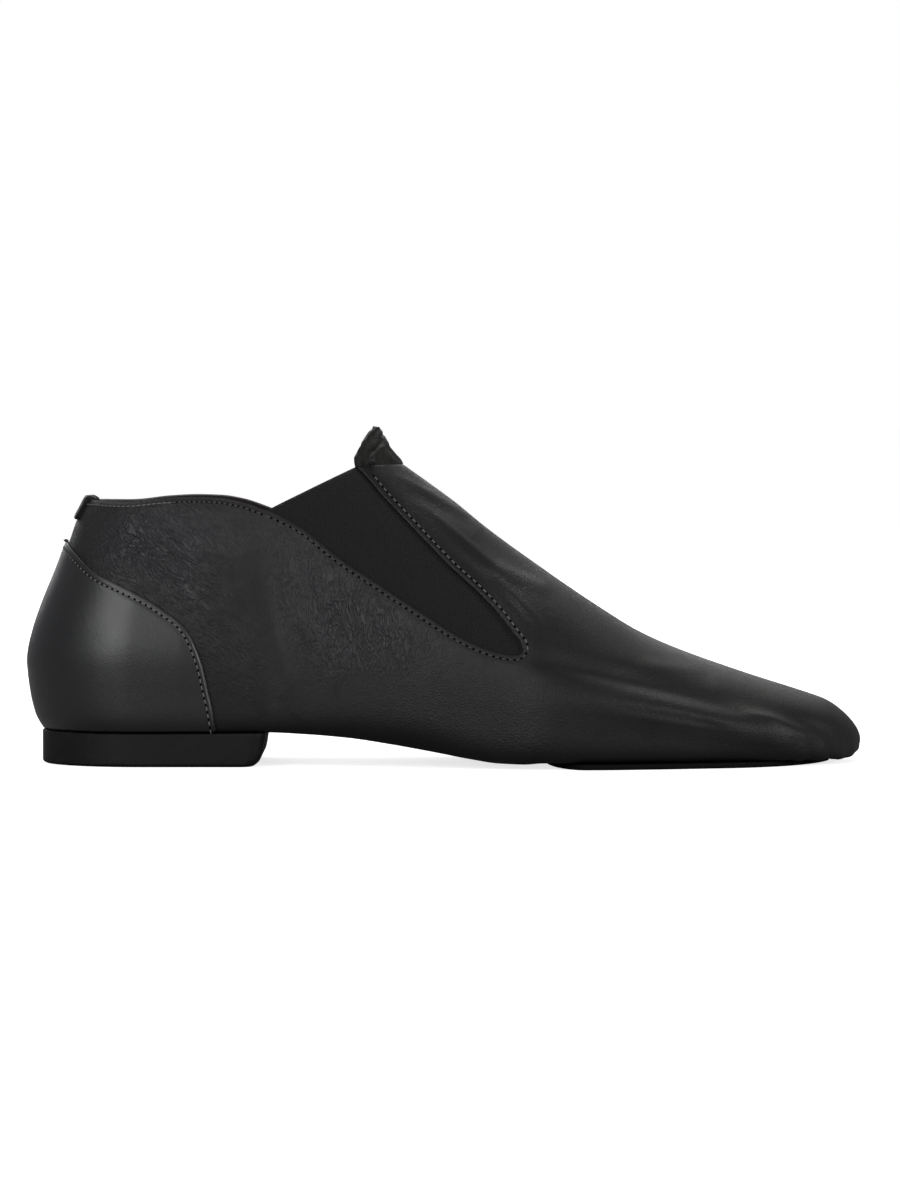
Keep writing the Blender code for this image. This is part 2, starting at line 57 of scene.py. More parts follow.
last = {
    "ballWidth": 0.088,
    "collarHeight": 0.0792,
    "tipHeight": 0.0065,
    "heelHeight": heelHigh[2],
    "padThickness": 0.0016,
    "gap": 0.0003,
    "wall": 0.0013,
    "heelRound": 0.030,
    "toeRound": 0.030,
    "tipRound": 0.012,
    "underRound": 0.007,
    "leanReach": 0.075,
    "crown": 2.1,
    "counterHeight": 0.066,
    "counterThickness": 0.0008,
    "elasticThickness": 0.0012,
    "seamMargin": 0.005,
    "frontTabHeight": 0.0112,
    "openShare": 0.72,
}
outer, inner = -1, 1
mm = 0.001


def tableOf(columns, *rows):
    # Named columns of a table as arrays
    return dict(zip(columns.split(), np.array(rows, float).T))


# The last's tables. along is a share of the upper's length, heights are shares of a named height.
ridgeTable = tableOf(
    "along height",
    (0.000, 1.250), (0.200, 1.250), (0.320, 1.200), (0.390, 1.110), (0.445, 1.000),
    (0.508, 0.873), (0.545, 0.789), (0.617, 0.644), (0.690, 0.507), (0.726, 0.445),
    (0.763, 0.396), (0.853, 0.304), (0.944, 0.222), (1.000, 0.165),
)
widestTable = tableOf(
    "along height",
    (0.000, 0.235), (0.280, 0.200), (0.420, 0.200), (0.600, 0.165),
    (0.700, 0.140), (0.850, 0.100), (1.000, 0.060),
)
archTable = tableOf(
    "along fall",
    (0.000, 1.000), (0.281, 1.000), (0.333, 0.920), (0.381, 0.790), (0.430, 0.580),
    (0.490, 0.285), (0.526, 0.100), (0.560, -0.030), (0.590, -0.050), (0.612, 0.000),
    (0.890, 0.000), (0.930, -0.030), (0.962, -0.045), (1.000, -0.120),
)
planTable = tableOf(
    "along outer inner bend",
    (0.000, 0.337, 0.337, 0.000), (0.120, 0.337, 0.337, 0.000), (0.260, 0.331, 0.322, 0.000),
    (0.380, 0.349, 0.309, 0.000), (0.460, 0.392, 0.320, 0.002), (0.540, 0.455, 0.372, 0.006),
    (0.625, 0.515, 0.449, 0.015), (0.675, 0.513, 0.478, 0.022), (0.740, 0.488, 0.461, 0.033),
    (0.820, 0.440, 0.401, 0.050), (0.890, 0.394, 0.348, 0.062), (0.940, 0.358, 0.314, 0.068),
    (1.000, 0.300, 0.275, 0.072),
)
featherTable = tableOf(
    "along inset square",
    (0.000, 0.035, 8.0), (0.280, 0.040, 7.0), (0.430, 0.080, 4.0),
    (0.600, 0.055, 4.5), (0.850, 0.046, 3.8), (1.000, 0.040, 3.2),
)
backTable = tableOf(
    "height lean",
    (0.125, 0.0190), (0.145, 0.0130), (0.200, 0.0048), (0.275, 0.0012), (0.375, 0.0000),
    (0.500, 0.0064), (0.625, 0.0167), (0.750, 0.0313), (0.850, 0.0426), (0.925, 0.0510),
    (1.000, 0.0631), (1.050, 0.0700),
)
toplineTable = tableOf(
    "along height",
    (0.000, 1.001), (0.056, 0.996), (0.116, 1.009), (0.165, 1.014), (0.209, 1.011),
    (0.241, 0.999), (0.282, 0.962), (0.321, 0.905), (0.369, 0.788), (0.418, 0.685),
    (0.466, 0.588), (0.502, 0.515), (0.538, 0.459), (0.560, 0.437), (0.574, 0.430),
    (0.582, 0.432), (0.5865, 0.440), (0.588, 0.452),
)
goreFrontTable = tableOf(
    "along rise",
    (0.390, 1.000), (0.400, 0.955), (0.423, 0.831), (0.449, 0.704), (0.477, 0.567),
    (0.504, 0.440), (0.534, 0.316), (0.562, 0.178), (0.578, 0.080), (0.584, 0.047),
    (0.587, 0.022), (0.588, 0.000),
)
counterTable = tableOf(
    "height along",
    (0.175, 0.220), (0.255, 0.218), (0.350, 0.213), (0.456, 0.207), (0.550, 0.197),
    (0.636, 0.182), (0.676, 0.169), (0.700, 0.158), (0.751, 0.134), (0.794, 0.107),
    (0.830, 0.080), (0.862, 0.058), (0.915, 0.033), (1.000, 0.000),
)
frontTabTable = tableOf(
    "rise front back",
    (0.000, 0.000, 1.000), (0.160, 0.060, 1.015), (0.375, 0.190, 0.985), (0.590, 0.316, 0.882),
    (0.800, 0.426, 0.735), (0.930, 0.490, 0.640), (1.000, 0.520, 0.560),
)
heelTable = tableOf(
    "height setback inset",
    (0.000, 0.420, 0.240), (0.030, 0.340, 0.110), (0.080, 0.270, 0.000), (0.180, 0.170, 0.000),
    (0.350, 0.100, 0.000), (0.700, 0.040, 0.000), (0.970, 0.000, 0.000), (1.000, 0.000, 0.050),
)
heelOpening = (0.0355, 0.265)
forefootOpening = (0.660, 0.880)
goreStart, goreTip = 0.282, toplineTable["along"][-1]
vampTop = 0.445


def smoothCurve(known, values):
    # Cubic through the rows whose slopes are harmonic means, so it never swings past them
    step = np.diff(known)
    slope = np.diff(values) / step
    tangent = np.concatenate([slope[:1], np.zeros(len(slope) - 1), slope[-1:]])
    for i in range(1, len(slope)):
        if slope[i - 1] * slope[i] > 0:
            before = 2 * step[i] + step[i - 1]
            after = step[i] + 2 * step[i - 1]
            tangent[i] = (before + after) / (before / slope[i - 1] + after / slope[i])

    def at(place):
        # The cubic's value, held at its first and last row outside the table
        place = np.clip(place, known[0], known[-1])
        i = np.clip(np.searchsorted(known, place, side="right") - 1, 0, len(step) - 1)
        t = (place - known[i]) / step[i]
        return (
            values[i] * (1 + 2 * t) * (1 - t) ** 2
            + tangent[i] * step[i] * t * (1 - t) ** 2
            + values[i + 1] * (3 - 2 * t) * t**2
            + tangent[i + 1] * step[i] * (t - 1) * t**2
        )

    return at


ridgeHeight = smoothCurve(ridgeTable["along"], ridgeTable["height"] * instepHeight)
widestRise = smoothCurve(widestTable["along"], widestTable["height"] * instepHeight)
archFall = smoothCurve(archTable["along"], archTable["fall"])
centreBend = smoothCurve(planTable["along"], planTable["bend"] * last["ballWidth"])
sideReach = {
    outer: smoothCurve(planTable["along"], planTable["outer"] * last["ballWidth"]),
    inner: smoothCurve(planTable["along"], planTable["inner"] * last["ballWidth"]),
}
featherInset = smoothCurve(featherTable["along"], featherTable["inset"] * last["ballWidth"])
featherSquare = smoothCurve(featherTable["along"], featherTable["square"])
backLean = smoothCurve(backTable["height"] * last["collarHeight"], backTable["lean"] * span)
topline = smoothCurve(toplineTable["along"], toplineTable["height"] * last["collarHeight"])
counterEdge = smoothCurve(counterTable["height"] * last["counterHeight"], counterTable["along"])


def rounding(distance, size):
    # Quarter circle: 0 at the end, 1 from one size away
    return np.sqrt(1 - (1 - np.clip(distance / size, 0, 1)) ** 2)


def levels(along):
    # Heights of the bottom, the widest level and the ridge, drawn together at the toe's tip
    seat = last["heelHeight"] + last["gap"]
    pad = last["padThickness"] + last["gap"]
    low = pad + (seat - pad) * archFall(along)
    under = rounding((1 - along) * span, last["underRound"])
    over = rounding((1 - along) * span, last["tipRound"])
    bent = (low, under), (low + widestRise(along), over), (ridgeHeight(along), over)
    return tuple(last["tipHeight"] + (height - last["tipHeight"]) * turn for height, turn in bent)


def planRounding(along):
    # Share of the width that the round heel and toe leave
    return rounding(along * span, last["heelRound"]) * rounding((1 - along) * span, last["toeRound"])


def station(along, height):
    # X of a place along the upper, with the forward lean of the back line fading out
    far = np.clip(along * span / last["leanReach"], 0, 1)
    return rear + along * span + backLean(height) * (1 - far) ** 2 * (1 + 2 * far)


def skin(side, along, height):
    # Upper's surface: half width is a superellipse above the widest level and a tight turn below it
    low, middle, top = levels(along)
    crown = np.clip((height - middle) / np.maximum(top - middle, 1e-9), 0, 1)
    below = np.clip((middle - height) / np.maximum(middle - low, 1e-9), 0, 1)
    inset = featherInset(along)
    over = sideReach[side](along) * (1 - crown ** last["crown"]) ** (1 / last["crown"])
    under = sideReach[side](along) - inset * (1 - np.sqrt(1 - below ** featherSquare(along)))
    half = planRounding(along) * np.where(height >= middle, over, under)
    flat = centreBend(along) + side * half
    return np.stack(np.broadcast_arrays(station(along, height), flat, height), axis=-1)


def flatHalf(side, along):
    # Half width of the flat bottom: the side's reach less the feather's inset
    return planRounding(along) * (sideReach[side](along) - featherInset(along))


def openHalf(side, along):
    # Half width of the bottom's openings: an ellipse over each, 0 elsewhere
    found = np.zeros_like(along)
    for start, end in (heelOpening, forefootOpening):
        off = (along - (start + end) / 2) / ((end - start) / 2)
        found = found + np.sqrt(np.clip(1 - off**2, 0, 1))
    found = np.where(found < 1e-3, 0, found)
    return last["openShare"] * flatHalf(side, along) * found


def bottom(side, along, share):
    # Flat bottom, from its opening or centre line (share 0) to its edge (share 1)
    near = openHalf(side, along)
    low = levels(along)[0]
    flat = centreBend(along) + side * (near + share * (flatHalf(side, along) - near))
    return np.stack(np.broadcast_arrays(station(along, low), flat, low), axis=-1)


def walkOf(along):
    # Distance walked round the heel from the back line and on along the side
    turn = np.arccos(1 - np.minimum(along * span / last["heelRound"], 1))
    return last["heelRound"] * turn + np.maximum(along * span - last["heelRound"], 0)


def alongOf(walk):
    # Share of the length after a walk from the back line: the quarter circle first, then straight
    arc = last["heelRound"] * math.pi / 2
    roundPart = last["heelRound"] * (1 - np.cos(np.minimum(walk, arc) / last["heelRound"]))
    return (roundPart + np.maximum(walk - arc, 0)) / span


def aroundHeel(count):
    # Shares of the length at even angles of the heel's quarter circle
    return last["heelRound"] / span * (1 - np.cos(np.linspace(0, math.pi / 2, count + 1)))


def aroundToe(count):
    # The same for the toe, from the side to the tip
    return 1 - last["toeRound"] / span * (1 - np.cos(np.linspace(math.pi / 2, 0, count + 1)))


# Meshes from grids


def quadsOf(index):
    # Two triangles for every square of a grid of vertex numbers
    a, b, c, d = index[:-1, :-1], index[:-1, 1:], index[1:, 1:], index[1:, :-1]
    halves = np.stack([a, b, c], -1), np.stack([a, c, d], -1)
    return np.concatenate([half.reshape(-1, 3) for half in halves])


def mergeNear(points, triangles, step):
    # Vertices in the same cell of a step become one; triangles left without area go. Gives the
    # kept triangles and the number of the vertex that each merged one comes from.
    cells = np.round(points / step).astype(np.int64)
    _, first, place = np.unique(cells, axis=0, return_index=True, return_inverse=True)
    triangles = place.reshape(-1)[triangles]
    a, b, c = triangles.T
    return triangles[(a != b) & (b != c) & (c != a)], first


def weld(grids):
    # Joins grids of points into one set of triangles. Each grid is (points, flip, notes),
    # where notes are named arrays of the grid's shape that are kept for each vertex.
    points, triangles, notes, start = [], [], {}, 0
    for grid, flip, kept in grids:
        grid = np.asarray(grid, float)
        rows, columns = grid.shape[:2]
        quads = quadsOf(start + np.arange(rows * columns).reshape(rows, columns))
        triangles.append(quads[:, ::-1] if flip else quads)
        points.append(grid.reshape(-1, 3))
        for name, value in kept.items():
            value = np.broadcast_to(np.asarray(value, float), (rows, columns))
            notes.setdefault(name, []).append(value.reshape(-1))
        start += rows * columns
    points = np.concatenate(points)
    triangles, first = mergeNear(points, np.concatenate(triangles), 2e-6)
    notes = {name: np.concatenate(value)[first] for name, value in notes.items()}
    return points[first], triangles, notes


def normalsOf(points, triangles):
    # Area-weighted mean of the faces round each vertex
    a, b, c = (points[triangles[:, i]] for i in range(3))
    faces = np.cross(b - a, c - a)
    total = np.zeros_like(points)
    for i in range(3):
        np.add.at(total, triangles[:, i], faces)
    return total / np.maximum(np.linalg.norm(total, axis=1, keepdims=True), 1e-20)


def addToScene(name, data):
    # An object of this mesh, lamp or camera, linked to the scene
    made = bpy.data.objects.new(name, data)
    bpy.context.scene.collection.objects.link(made)
    return made


def makeObject(name, points, triangles, materials, node=None, values=None):
    # Smooth-shaded triangles on the shoe's one body, with named values kept at the vertices
    mesh = bpy.data.meshes.new(name)
    mesh.vertices.add(len(points))
    mesh.vertices.foreach_set("co", np.asarray(points, np.float32).ravel())
    mesh.loops.add(len(triangles) * 3)
    mesh.loops.foreach_set("vertex_index", np.asarray(triangles, np.int32).ravel())
    mesh.polygons.add(len(triangles))
    mesh.polygons.foreach_set("loop_start", np.arange(0, len(triangles) * 3, 3, dtype=np.int32))
    mesh.update(calc_edges=True)
    mesh.validate()
    for label, value in (values or {}).items():
        kept = mesh.attributes.new(label, "FLOAT", "POINT")
        kept.data.foreach_set("value", np.asarray(value, np.float32))
    mesh.shade_smooth()
    for item in materials:
        mesh.materials.append(item)
    made = addToScene(name, mesh)
    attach(made, "root")
    if node:
        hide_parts(node)
    return made


def addWall(made, thickness, innerMaterial=0):
    # Lays the wall inside the sheet
    wall = made.modifiers.new("Wall", "SOLIDIFY")
    wall.thickness = thickness
    wall.offset = -1
    wall.use_even_offset = False
    wall.material_offset = innerMaterial
    wall.use_rim = True


def closedLoft(rings):
    # Point k of each ring joins point k of the next, and a fan to its middle closes each end
    rings = [np.asarray(ring) for ring in rings]
    count = len(rings[0])
    points = np.concatenate(rings + [rings[0].mean(0, keepdims=True), rings[-1].mean(0, keepdims=True)])
    i = np.arange(count)
    j = (i + 1) % count
    faces = []
    for k in range(len(rings) - 1):
        low, high = k * count, (k + 1) * count
        faces.append(np.stack([low + i, low + j, high + j], -1))
        faces.append(np.stack([low + i, high + j, high + i], -1))
    end = (len(rings) - 1) * count
    faces.append(np.stack([j, i, np.full(count, end + count)], -1))
    faces.append(np.stack([end + i, end + j, np.full(count, end + count + 1)], -1))
    return points, np.concatenate(faces)


# Shader groups


def newGroup(name, inputs, outputs):
    # Empty node group with its sockets: (label, kind, value) in, (label, kind) out
    group = bpy.data.node_groups.new(name, "ShaderNodeTree")
    for label, kind, value in inputs:
        socket = group.interface.new_socket(name=label, in_out="INPUT", socket_type=kind)
        if value is not None:
            socket.default_value = value
    for label, kind in outputs:
        group.interface.new_socket(name=label, in_out="OUTPUT", socket_type=kind)
    return group, group.nodes.new("NodeGroupInput"), group.nodes.new("NodeGroupOutput")


def feed(tree, socket, value):
    # Gives an input a number, a colour or a link from another node
    if isinstance(value, bpy.types.NodeSocket):
        tree.links.new(value, socket)
    else:
        socket.default_value = (*value, 1) if isinstance(value, tuple) else value


def mathNode(tree, operation, a, b=None, clamp=False):
    # One sum of two sockets or numbers
    node = tree.nodes.new("ShaderNodeMath")
    node.operation = operation
    node.use_clamp = clamp
    feed(tree, node.inputs[0], a)
    if b is not None:
        feed(tree, node.inputs[1], b)
    return node.outputs[0]


def noiseNode(tree, vector, scale, detail=3.0, roughness=0.55, distortion=0.0):
    # Soft noise between 0 and 1
    node = tree.nodes.new("ShaderNodeTexNoise")
    tree.links.new(vector, node.inputs["Vector"])
    for label, value in (
        ("Scale", scale), ("Detail", detail), ("Roughness", roughness), ("Distortion", distortion)
    ):
        node.inputs[label].default_value = value
    return node.outputs["Fac"]


def cellNode(tree, vector, scale):
    # Distance to the nearest border between cells
    node = tree.nodes.new("ShaderNodeTexVoronoi")
    node.feature = "DISTANCE_TO_EDGE"
    tree.links.new(vector, node.inputs["Vector"])
    tree.links.new(scale, node.inputs["Scale"])
    return node.outputs["Distance"]


def rampNode(tree, value, low, high, least=0.0, most=1.0):
    # Straight ramp from the least at low to the most at high
    node = tree.nodes.new("ShaderNodeMapRange")
    for socket, given in zip(node.inputs, (value, low, high, least, most)):
        feed(tree, socket, given)
    return node.outputs["Result"]


grainLook = {
    "pebbleTop": 0.35,
    "pebbleShare": 0.6,
    "poreScale": 2600.0,
    "poreShare": 0.4,
    "mottleScale": 520.0,
    "mottleShare": 1.5,
    "toneScale": 34.0,
}


def grainGroup():
    # Leather grain: height is pebbles with shallow furrows, fine pores and a soft mottle, each by
    # its share, and tone is broad noise
    group, start, end = newGroup(
        "leather grain",
        [("Vector", "NodeSocketVector", None), ("Pebble Scale", "NodeSocketFloat", 1300.0)],
        [("Height", "NodeSocketFloat"), ("Tone", "NodeSocketFloat")],
    )
    vector = start.outputs["Vector"]
    cells = cellNode(group, vector, start.outputs["Pebble Scale"])
    pebbles = rampNode(group, cells, 0.0, grainLook["pebbleTop"])
    pores = noiseNode(group, vector, grainLook["poreScale"], 2.0)
    mottle = noiseNode(group, vector, grainLook["mottleScale"], 5.0, 0.66)
    fine = mathNode(group, "ADD", mathNode(group, "MULTIPLY", pebbles, grainLook["pebbleShare"]),
                    mathNode(group, "MULTIPLY", pores, grainLook["poreShare"]))
    coarse = mathNode(group, "MULTIPLY", mottle, grainLook["mottleShare"])
    group.links.new(mathNode(group, "ADD", coarse, fine), end.inputs["Height"])
    group.links.new(noiseNode(group, vector, grainLook["toneScale"], 4.0, 0.6), end.inputs["Tone"])
    return group


foldLook = {
    # lean in degrees, stretch and scale of the fine creases, how far they wander, furrow's width
    "upright": (4, 3.4, 820.0),
    "slanting": (48, 4.0, 740.0),
    "wander": 0.0040,
    "wanderScale": 120.0,
    "furrow": 0.12,
}


def foldedStreaks(tree, vector, lean, stretch, scale):
    # Noise drawn out along one way of the side view; its middle value marks thin sharp furrows
    wander = tree.nodes.new("ShaderNodeTexNoise")
    wander.inputs["Scale"].default_value = foldLook["wanderScale"]
    wander.inputs["Detail"].default_value = 1.0
    tree.links.new(vector, wander.inputs["Vector"])
    moved = tree.nodes.new("ShaderNodeVectorMath")
    moved.operation = "MULTIPLY_ADD"
    tree.links.new(wander.outputs["Color"], moved.inputs[0])
    moved.inputs[1].default_value = (foldLook["wander"],) * 3
    tree.links.new(vector, moved.inputs[2])
    turned = tree.nodes.new("ShaderNodeMapping")
    turned.vector_type = "TEXTURE"
    turned.inputs["Rotation"].default_value = (0.0, -math.radians(lean), 0.0)
    turned.inputs["Scale"].default_value = (1.0, 1.0, stretch)
    tree.links.new(moved.outputs[0], turned.inputs["Vector"])
    noise = noiseNode(tree, turned.outputs[0], scale, 2.0, 0.6)
    off = mathNode(tree, "ABSOLUTE", mathNode(tree, "SUBTRACT", noise, 0.5))
    return rampNode(tree, off, 0.0, foldLook["furrow"])


def foldGroup():
    # Fine creases of worn leather: height is the upright ones and the slanting ones by their amounts
    group, start, end = newGroup(
        "leather creases",
        [("Vector", "NodeSocketVector", None), ("Upright", "NodeSocketFloat", 0.0),
         ("Slanting", "NodeSocketFloat", 0.0)],
        [("Height", "NodeSocketFloat")],
    )
    vector = start.outputs["Vector"]
    upright = foldedStreaks(group, vector, *foldLook["upright"])
    slanting = foldedStreaks(group, vector, *foldLook["slanting"])
    height = mathNode(
        group, "ADD",
        mathNode(group, "MULTIPLY", upright, start.outputs["Upright"]),
        mathNode(group, "MULTIPLY", slanting, start.outputs["Slanting"]),
    )
    group.links.new(height, end.inputs["Height"])
    return group


ribLook = {
    "ribShare": 0.5,
    "picksPerRib": 1.7,
    "weaveShare": 0.08,
    "fuzzScale": 900.0,
    "fuzzShare": 1.6,
}


def ribGroup():
    # Elastic: height is arched ribs along Z, a sine weave across them and fuzz. Thread is the ribs.
    group, start, end = newGroup(
        "elastic ribs",
        [("Vector", "NodeSocketVector", None), ("Pitch", "NodeSocketFloat", 0.0009)],
        [("Height", "NodeSocketFloat"), ("Thread", "NodeSocketFloat")],
    )
    parts = group.nodes.new("ShaderNodeSeparateXYZ")
    group.links.new(start.outputs["Vector"], parts.inputs[0])
    across = mathNode(group, "DIVIDE", parts.outputs["X"], start.outputs["Pitch"])
    wave = mathNode(group, "SINE", mathNode(group, "MULTIPLY", across, math.pi))
    ribs = mathNode(group, "ABSOLUTE", wave)
    upwards = mathNode(group, "DIVIDE", parts.outputs["Z"], start.outputs["Pitch"])
    picks = mathNode(group, "MULTIPLY", upwards, 2 * math.pi * ribLook["picksPerRib"])
    weave = mathNode(group, "MULTIPLY", mathNode(group, "SINE", picks), ribLook["weaveShare"])
    fuzz = noiseNode(group, start.outputs["Vector"], ribLook["fuzzScale"], 5.0, 0.75)
    fuzz = mathNode(group, "MULTIPLY", fuzz, ribLook["fuzzShare"])
    low = mathNode(group, "MULTIPLY", ribs, ribLook["ribShare"])
    height = mathNode(group, "ADD", mathNode(group, "ADD", low, weave), fuzz)
    group.links.new(height, end.inputs["Height"])
    group.links.new(ribs, end.inputs["Thread"])
    return group


rubberLook = {
    "coarseScale": 420.0,
    "fineScale": 2200.0,
    "fineShare": 0.3,
    "scuffScale": 150.0,
    "scuffFrom": 0.52,
    "scuffTo": 0.72,
}


def rubberGroup():
    # Moulded rubber: height is coarse noise with some fine noise, scuff is where patchy noise is high
    group, start, end = newGroup(
        "rubber skin",
        [("Vector", "NodeSocketVector", None)],
        [("Height", "NodeSocketFloat"), ("Scuff", "NodeSocketFloat")],
    )
    vector = start.outputs["Vector"]
    coarse = noiseNode(group, vector, rubberLook["coarseScale"], 4.0, 0.6)
    fine = noiseNode(group, vector, rubberLook["fineScale"], 2.0)
    fine = mathNode(group, "MULTIPLY", fine, rubberLook["fineShare"])
    patches = noiseNode(group, vector, rubberLook["scuffScale"], 5.0, 0.7, 0.4)
    scuff = rampNode(group, patches, rubberLook["scuffFrom"], rubberLook["scuffTo"])
    group.links.new(mathNode(group, "ADD", coarse, fine), end.inputs["Height"])
    group.links.new(scuff, end.inputs["Scuff"])
    return group


leatherGrain, leatherFolds = grainGroup(), foldGroup()
elasticRibs, rubberSkin = ribGroup(), rubberGroup()


def newMaterial(name):
    # A material with its tree, its shader and the piece's own coordinates
    made = bpy.data.materials.new(name)
    made.use_nodes = True
    tree = made.node_tree
    shader = tree.nodes["Principled BSDF"]
    coordinates = tree.nodes.new("ShaderNodeTexCoord").outputs["Object"]
    return made, tree, shader, coordinates


def placeGroup(tree, group, vector):
    # Places a shader group and gives it its coordinates
    node = tree.nodes.new("ShaderNodeGroup")
    node.node_tree = group
    tree.links.new(vector, node.inputs["Vector"])
    return node


def mixColour(tree, factor, dark, light):
    # Dark where the factor is 0, light where it is 1
    node = tree.nodes.new("ShaderNodeMix")
    node.data_type = "RGBA"
    for label, value in (("Factor", factor), ("A", dark), ("B", light)):
        feed(tree, node.inputs[label], value)
    return node.outputs["Result"]


def addBump(tree, shader, height, distance, strength=1.0):
    # Bump of the height times the distance, in metres
    node = tree.nodes.new("ShaderNodeBump")
    node.inputs["Distance"].default_value = distance
    node.inputs["Strength"].default_value = strength
    tree.links.new(height, node.inputs["Height"])
    tree.links.new(node.outputs["Normal"], shader.inputs["Normal"])


def leatherMaterial(name, look):
    # Near black; tone and roughness drift with the grain's mask. Where the piece has fine creases it
    # is glossier and paler, a worn grey that also paints the highlight the creases catch, and they add to
    # the grain's height.
    made, tree, shader, vector = newMaterial(name)
    grain = placeGroup(tree, leatherGrain, vector)
    grain.inputs["Pebble Scale"].default_value = look["pebble"]
    tone = rampNode(tree, grain.outputs["Tone"], 0.3, 0.7)
    colour = mixColour(tree, tone, look["dark"], look["light"])
    rough = rampNode(tree, tone, 0.0, 1.0, *look["rough"])
    shader.inputs["Specular IOR Level"].default_value = look["specular"]
    height = mathNode(tree, "MULTIPLY", grain.outputs["Height"], look["grainDepth"])
    if look["folds"]:
        folds = placeGroup(tree, leatherFolds, vector)
        amounts = []
        for label in ("Upright", "Slanting"):
            kept = tree.nodes.new("ShaderNodeAttribute")
            kept.attribute_name = label
            tree.links.new(kept.outputs["Fac"], folds.inputs[label])
            amounts.append(kept.outputs["Fac"])
        wornAndSheen = mathNode(tree, "ADD", *amounts, clamp=True)
        # Paler colour on the creased patches: worn grey and painted highlight together
        colour = mixColour(tree, wornAndSheen, colour, look["wornAndSheen"])
        rough = mathNode(tree, "SUBTRACT", rough, mathNode(tree, "MULTIPLY", wornAndSheen, look["wornGloss"]))
        raised = mathNode(tree, "MULTIPLY", folds.outputs["Height"], look["folds"])
        height = mathNode(tree, "ADD", height, raised)
    tree.links.new(colour, shader.inputs["Base Color"])
    tree.links.new(rough, shader.inputs["Roughness"])
    addBump(tree, shader, height, 1.0)
    return made


def elasticMaterial(name, dark, light, pitch):
    # Matt web, darker between its ribs
    made, tree, shader, vector = newMaterial(name)
    ribs = placeGroup(tree, elasticRibs, vector)
    ribs.inputs["Pitch"].default_value = pitch
    tree.links.new(mixColour(tree, ribs.outputs["Thread"], dark, light), shader.inputs["Base Color"])
    shader.inputs["Roughness"].default_value = 0.9
    shader.inputs["Specular IOR Level"].default_value = 0.18
    shader.inputs["Sheen Weight"].default_value = 0.06
    shader.inputs["Sheen Roughness"].default_value = 0.5
    addBump(tree, shader, ribs.outputs["Height"], 0.00045)
    return made


def rubberMaterial(name, dark, light, rough, specular):
    # Dull rubber, lighter and rougher in its scuffs
    made, tree, shader, vector = newMaterial(name)
    rubber = placeGroup(tree, rubberSkin, vector)
    tree.links.new(mixColour(tree, rubber.outputs["Scuff"], dark, light), shader.inputs["Base Color"])
    roughness = rampNode(tree, rubber.outputs["Scuff"], 0.0, 1.0, rough, rough + 0.2)
    tree.links.new(roughness, shader.inputs["Roughness"])
    shader.inputs["Specular IOR Level"].default_value = specular
    addBump(tree, shader, rubber.outputs["Height"], 0.00012, 0.9)
    return made


def threadMaterial(name, colour, specular):
    # One colour, darker between the twists
    made, tree, shader, vector = newMaterial(name)
    shader.inputs["Specular IOR Level"].default_value = specular
    twist = noiseNode(tree, vector, 3200.0, 2.0)
    tree.links.new(mixColour(tree, twist, tuple(0.6 * c for c in colour), colour),
                   shader.inputs["Base Color"])
    shader.inputs["Roughness"].default_value = 0.6
    addBump(tree, shader, twist, 0.00008, 0.8)
    return made


finishes = {
    "upper": {
        "dark": (0.0052, 0.0052, 0.0056), "light": (0.0082, 0.0080, 0.0080), "rough": (0.44, 0.56),
        "specular": 0.30, "pebble": 1150.0, "grainDepth": 0.000075, "folds": 0.00030,
        # Paler colour of the creased patches: partly worn grey, partly painted highlight of the light the
        # creases catch
        "wornAndSheen": (0.024, 0.024, 0.026), "wornGloss": 0.10,
    },
    "counter": {
        "dark": (0.0080, 0.0080, 0.0088), "light": (0.0100, 0.0100, 0.0108), "rough": (0.37, 0.42),
        "specular": 0.60, "pebble": 1900.0, "grainDepth": 0.000022, "folds": 0.0,
    },
    "tab": {
        "dark": (0.0060, 0.0057, 0.0054), "light": (0.0100, 0.0095, 0.0088), "rough": (0.45, 0.60),
        "specular": 0.24, "pebble": 900.0, "grainDepth": 0.00020, "folds": 0.0,
    },
    "insole": {
        "dark": (0.0150, 0.0140, 0.0130), "light": (0.0220, 0.0205, 0.0190), "rough": (0.62, 0.78),
        "specular": 0.30, "pebble": 1500.0, "grainDepth": 0.00006, "folds": 0.0,
    },
    "lining": {
        "dark": (0.0160, 0.0120, 0.0110), "light": (0.0230, 0.0180, 0.0165), "rough": (0.70, 0.85),
        "specular": 0.20, "pebble": 1700.0, "grainDepth": 0.00005, "folds": 0.0,
    },
}
print("shader groups made")
softLeather = leatherMaterial("soft black leather", finishes["upper"])
counterLeather = leatherMaterial("smooth counter leather", finishes["counter"])
tabLeather = leatherMaterial("crumpled tab leather", finishes["tab"])
insoleLeather = leatherMaterial("insole leather", finishes["insole"])
liningLeather = leatherMaterial("lining", finishes["lining"])
elasticWeb = elasticMaterial("black elastic", (0.0120, 0.0120, 0.0122), (0.0150, 0.0150, 0.0153), 0.0008)
heelRubber = rubberMaterial("heel rubber", (0.0045, 0.0045, 0.0045), (0.0110, 0.0108, 0.0104), 0.60, 0.22)
padRubber = rubberMaterial("pad rubber", (0.0040, 0.0040, 0.0040), (0.0080, 0.0078, 0.0075), 0.75, 0.08)
greyThread = threadMaterial("grey thread", (0.17, 0.165, 0.155), 0.4)
darkThread = threadMaterial("dark grey thread", (0.075, 0.073, 0.070), 0.3)
# Near-black matte spindles at the stitch holes: painted shade of the holes
holeShade = threadMaterial("painted hole shade", (0.0010, 0.0010, 0.0010), 0.03)
print("materials made")


# Seams, as lines in the unrolled side: walk from the back line, and height


def seamLine(alongs, heights):
    # Places in the unrolled side, as walk and height
    return np.stack([walkOf(np.asarray(alongs)), np.asarray(heights)], -1)


def goreFrontLine(count):
    # The gore's front seam from its top to its tip: the height falls evenly, along follows the table
    rise = np.linspace(1, 0, count)
    along = smoothCurve(1 - goreFrontTable["rise"], goreFrontTable["along"])(1 - rise)
    low = topline(goreTip)
    return along, low + rise * (instepHeight - low)


